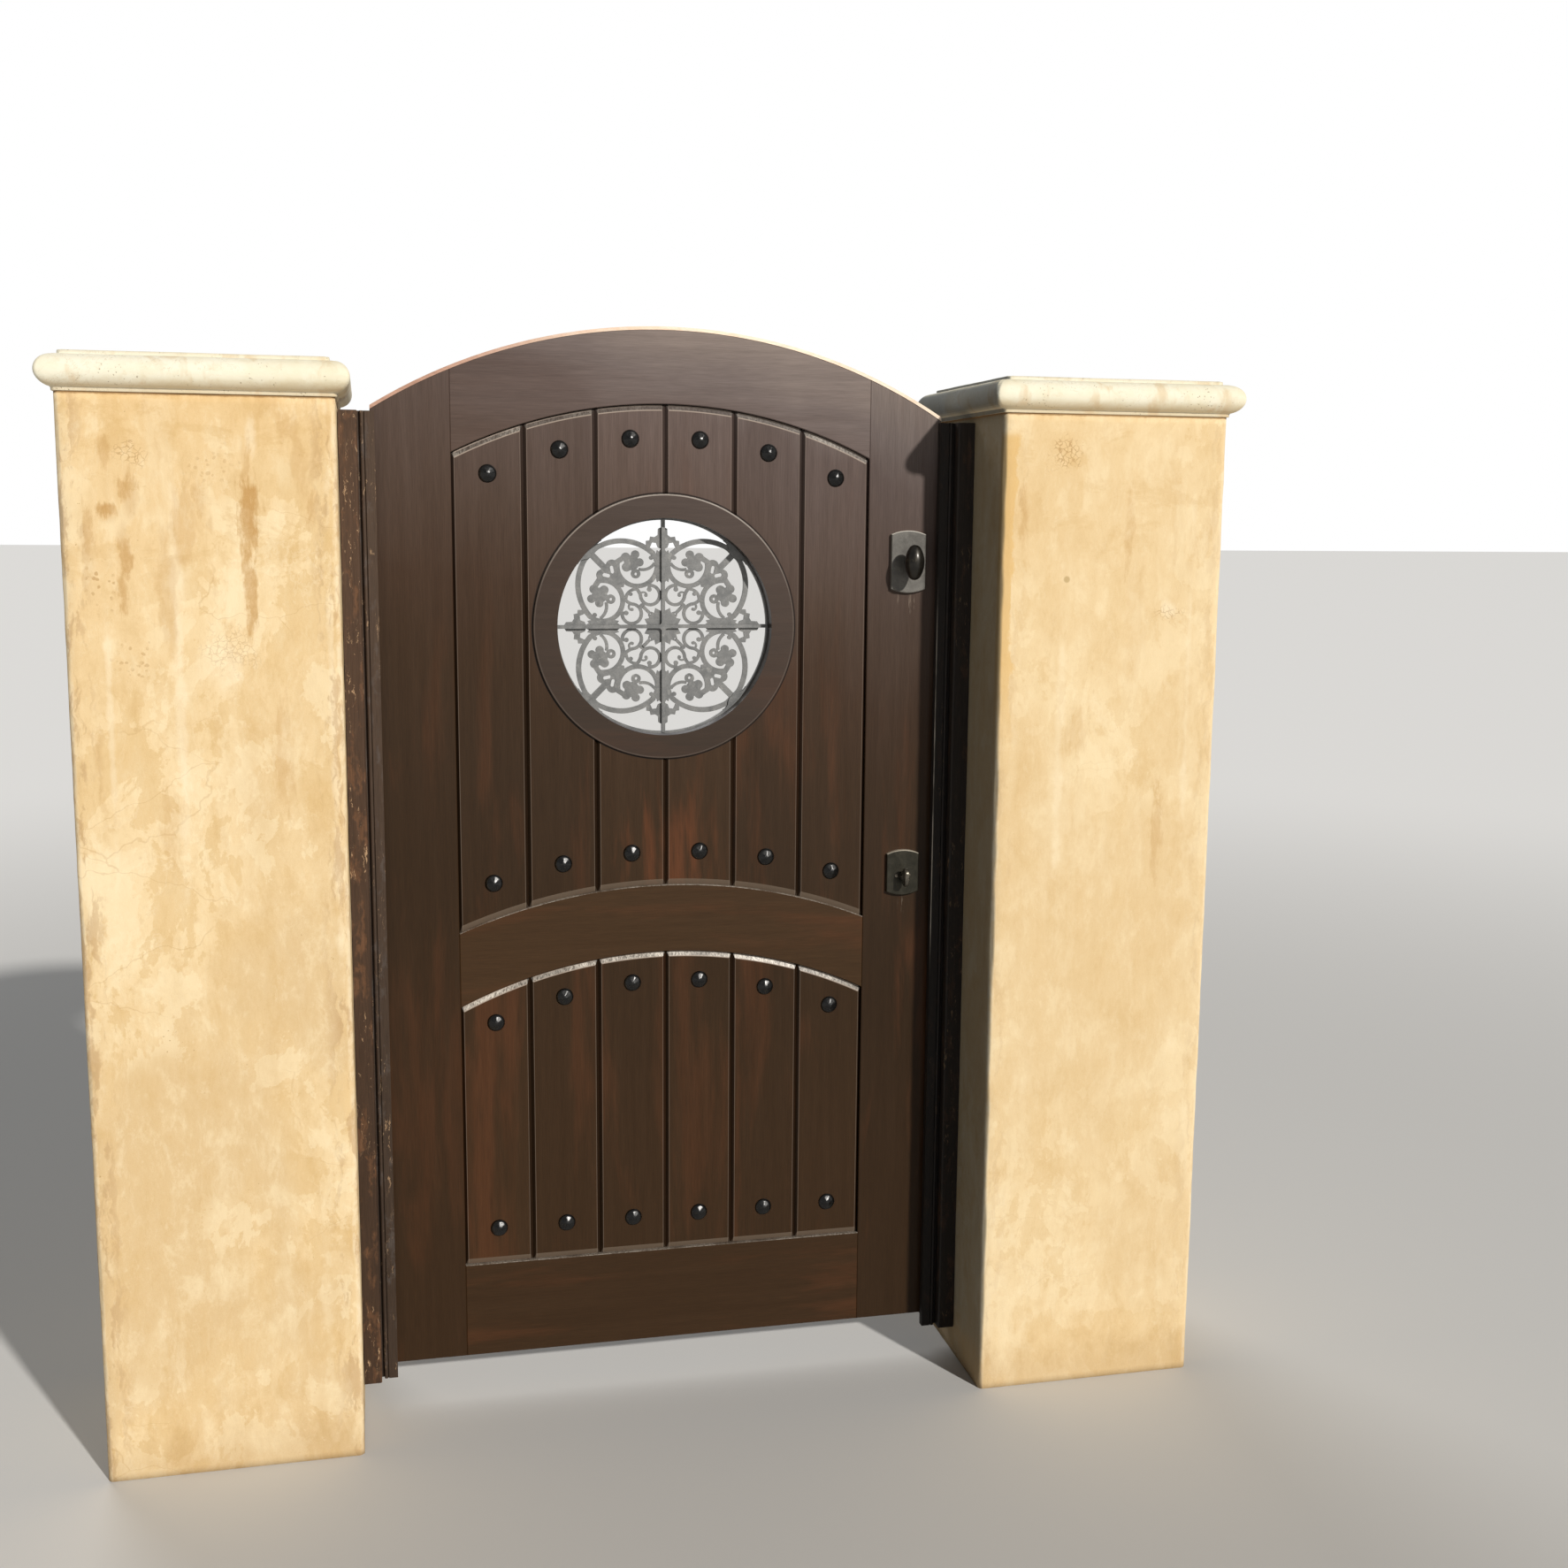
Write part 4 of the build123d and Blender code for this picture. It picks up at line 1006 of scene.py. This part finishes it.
# Pieces that stand for the plain solids
make_pier("left", 11, stucco("left_stucco", "left_pier", 3, 1.0, left_marks, False))
make_pier("right", 37, stucco("right_stucco", "right_pier", 8, 0.35, right_marks, True))
make_cap("left", 4, cast_stone("left_cast_stone", 2, 0.0))
make_cap("right", 29, cast_stone("right_cast_stone", 6, 1.0))
make_clavos("upper_clavos", 1, hammered_iron)
make_clavos("lower_clavos", 20, hammered_iron)

turn_heads = []
for side, plate in ((-1, "front_turn_plate"), (1, "back_turn_plate")):
    low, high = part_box(plate)
    for sideways in (-turn_screw_offset, turn_screw_offset):
        seat = Vector((lock_x + sideways, low.y if side < 0 else high.y, turn_z))
        turn_heads.append((seat, Vector((0, side, 0)), *turn_screw))
make_screws("turn_plate_screws", "leaf", turn_heads, "dark_bronze", screw_bronze)

# Countersunk screws of the hinges, face plates and strikes, nearly flush. A thickness is given where
# a plate's shell reaches further than its face.
hinge_spots = ((0.000, -0.034), (0.012, -0.012), (0.000, 0.012), (0.012, 0.034))
latch_spots = ((0.0, -0.0225), (0.0, 0.0225))
for name, body, node, side, thickness, spots, size in (
    ("hinge_leaf_screws", "leaf", "hinge_gate_leaves", -1, None, hinge_spots, hinge_screw),
    ("hinge_jamb_screws", "posts", "hinge_jamb_leaves", 1, hinge_plate_thickness, hinge_spots, hinge_screw),
    ("face_plate_screws", "leaf", "latch_face_plates", 1, None, latch_spots, latch_screw),
    ("strike_screws", "posts", "strike_plates", -1, None, latch_spots, latch_screw),
):
    heads = []
    for low, high in islands(node):
        face = low.x if side < 0 else high.x
        if thickness:
            face = low.x + thickness
        for y, rise in spots:
            seat = Vector((face, y, (low.z + high.z) / 2 + rise))
            heads.append((seat, Vector((side, 0, 0)), *size))
    make_screws(name, body, heads, "hinge_metal", screw_bronze)


def make_floor():
    finish = Finish("floor", roughness=0.9, specular=0.1)
    far = finish.band(finish.vector("LENGTH", finish.place, result="Value"), floor_near, floor_far)
    finish.colour(finish.blend(far, floor_near_colour, floor_far_colour))
    mesh = bpy.data.meshes.new("floor")
    corners = [
        (x * floor_reach, y * floor_reach, floor_height)
        for x, y in ((-1, -1), (1, -1), (1, 1), (-1, 1))
    ]
    mesh.from_pydata(corners, [], [(0, 1, 2, 3)])
    mesh.materials.append(finish.material)
    floor = bpy.data.objects.new("floor", mesh)
    bpy.context.scene.collection.objects.link(floor)


def make_world():
    """White for the camera, a soft white room for reflections, and a softer fill for the rest."""
    world = bpy.data.worlds.new("studio")
    bpy.context.scene.world = world
    world.use_nodes = True
    tree = world.node_tree
    tree.nodes.clear()

    def background(colour, strength):
        made = tree.nodes.new("ShaderNodeBackground")
        made.inputs["Color"].default_value = colour
        made.inputs["Strength"].default_value = strength
        return made.outputs[0]

    def choose(factor, first, second):
        made = tree.nodes.new("ShaderNodeMixShader")
        tree.links.new(factor, made.inputs[0])
        tree.links.new(first, made.inputs[1])
        tree.links.new(second, made.inputs[2])
        return made.outputs[0]

    path = tree.nodes.new("ShaderNodeLightPath")
    light = background(sky_colour, ambient_strength)
    mirrored = background((1, 1, 1, 1), reflection_strength)
    white = background((1, 1, 1, 1), 1.0)
    light = choose(path.outputs["Is Glossy Ray"], light, mirrored)
    light = choose(path.outputs["Is Transmission Ray"], light, white)
    light = choose(path.outputs["Is Camera Ray"], light, white)
    output = tree.nodes.new("ShaderNodeOutputWorld")
    tree.links.new(light, output.inputs["Surface"])


def make_lamp(name, azimuth, height, strength, softness, colour):
    """A distant lamp. Azimuth 0 stands on the -Y side and grows towards +X."""
    lamp = bpy.data.lights.new(name, "SUN")
    lamp.energy = strength
    lamp.angle = softness
    lamp.color = colour
    piece = bpy.data.objects.new(name, lamp)
    away = Vector((
        math.sin(azimuth) * math.cos(height),
        -math.cos(azimuth) * math.cos(height),
        math.sin(height),
    ))
    piece.rotation_mode = "QUATERNION"
    piece.rotation_quaternion = away.to_track_quat("Z", "Y")
    piece.location = away * lamp_distance
    bpy.context.scene.collection.objects.link(piece)


def make_camera():
    data = bpy.data.cameras.new("camera")
    data.sensor_width = camera_sensor
    data.lens = camera_lens
    data.shift_y = camera_shift_y
    data.clip_start, data.clip_end = 0.05, 200
    forward = Vector((
        math.sin(camera_yaw) * math.cos(camera_pitch),
        math.cos(camera_yaw) * math.cos(camera_pitch),
        -math.sin(camera_pitch),
    ))
    right = Vector((math.cos(camera_yaw), -math.sin(camera_yaw), 0))
    up = right.cross(forward)
    rolled_right = math.cos(camera_roll) * right + math.sin(camera_roll) * up
    rolled_up = -math.sin(camera_roll) * right + math.cos(camera_roll) * up
    rows = Matrix((rolled_right, rolled_up, -forward)).transposed()
    camera = bpy.data.objects.new("camera", data)
    camera.matrix_world = Matrix.Translation(camera_place) @ rows.to_4x4()
    bpy.context.scene.collection.objects.link(camera)
    bpy.context.scene.camera = camera


make_floor()
make_world()
make_lamp("key", sun_azimuth, sun_height, sun_strength, sun_softness, sun_colour)
make_lamp("back_fill", fill_azimuth, fill_height, fill_strength, fill_softness, fill_colour)
make_camera()
bpy.context.scene.view_settings.view_transform = "Standard"
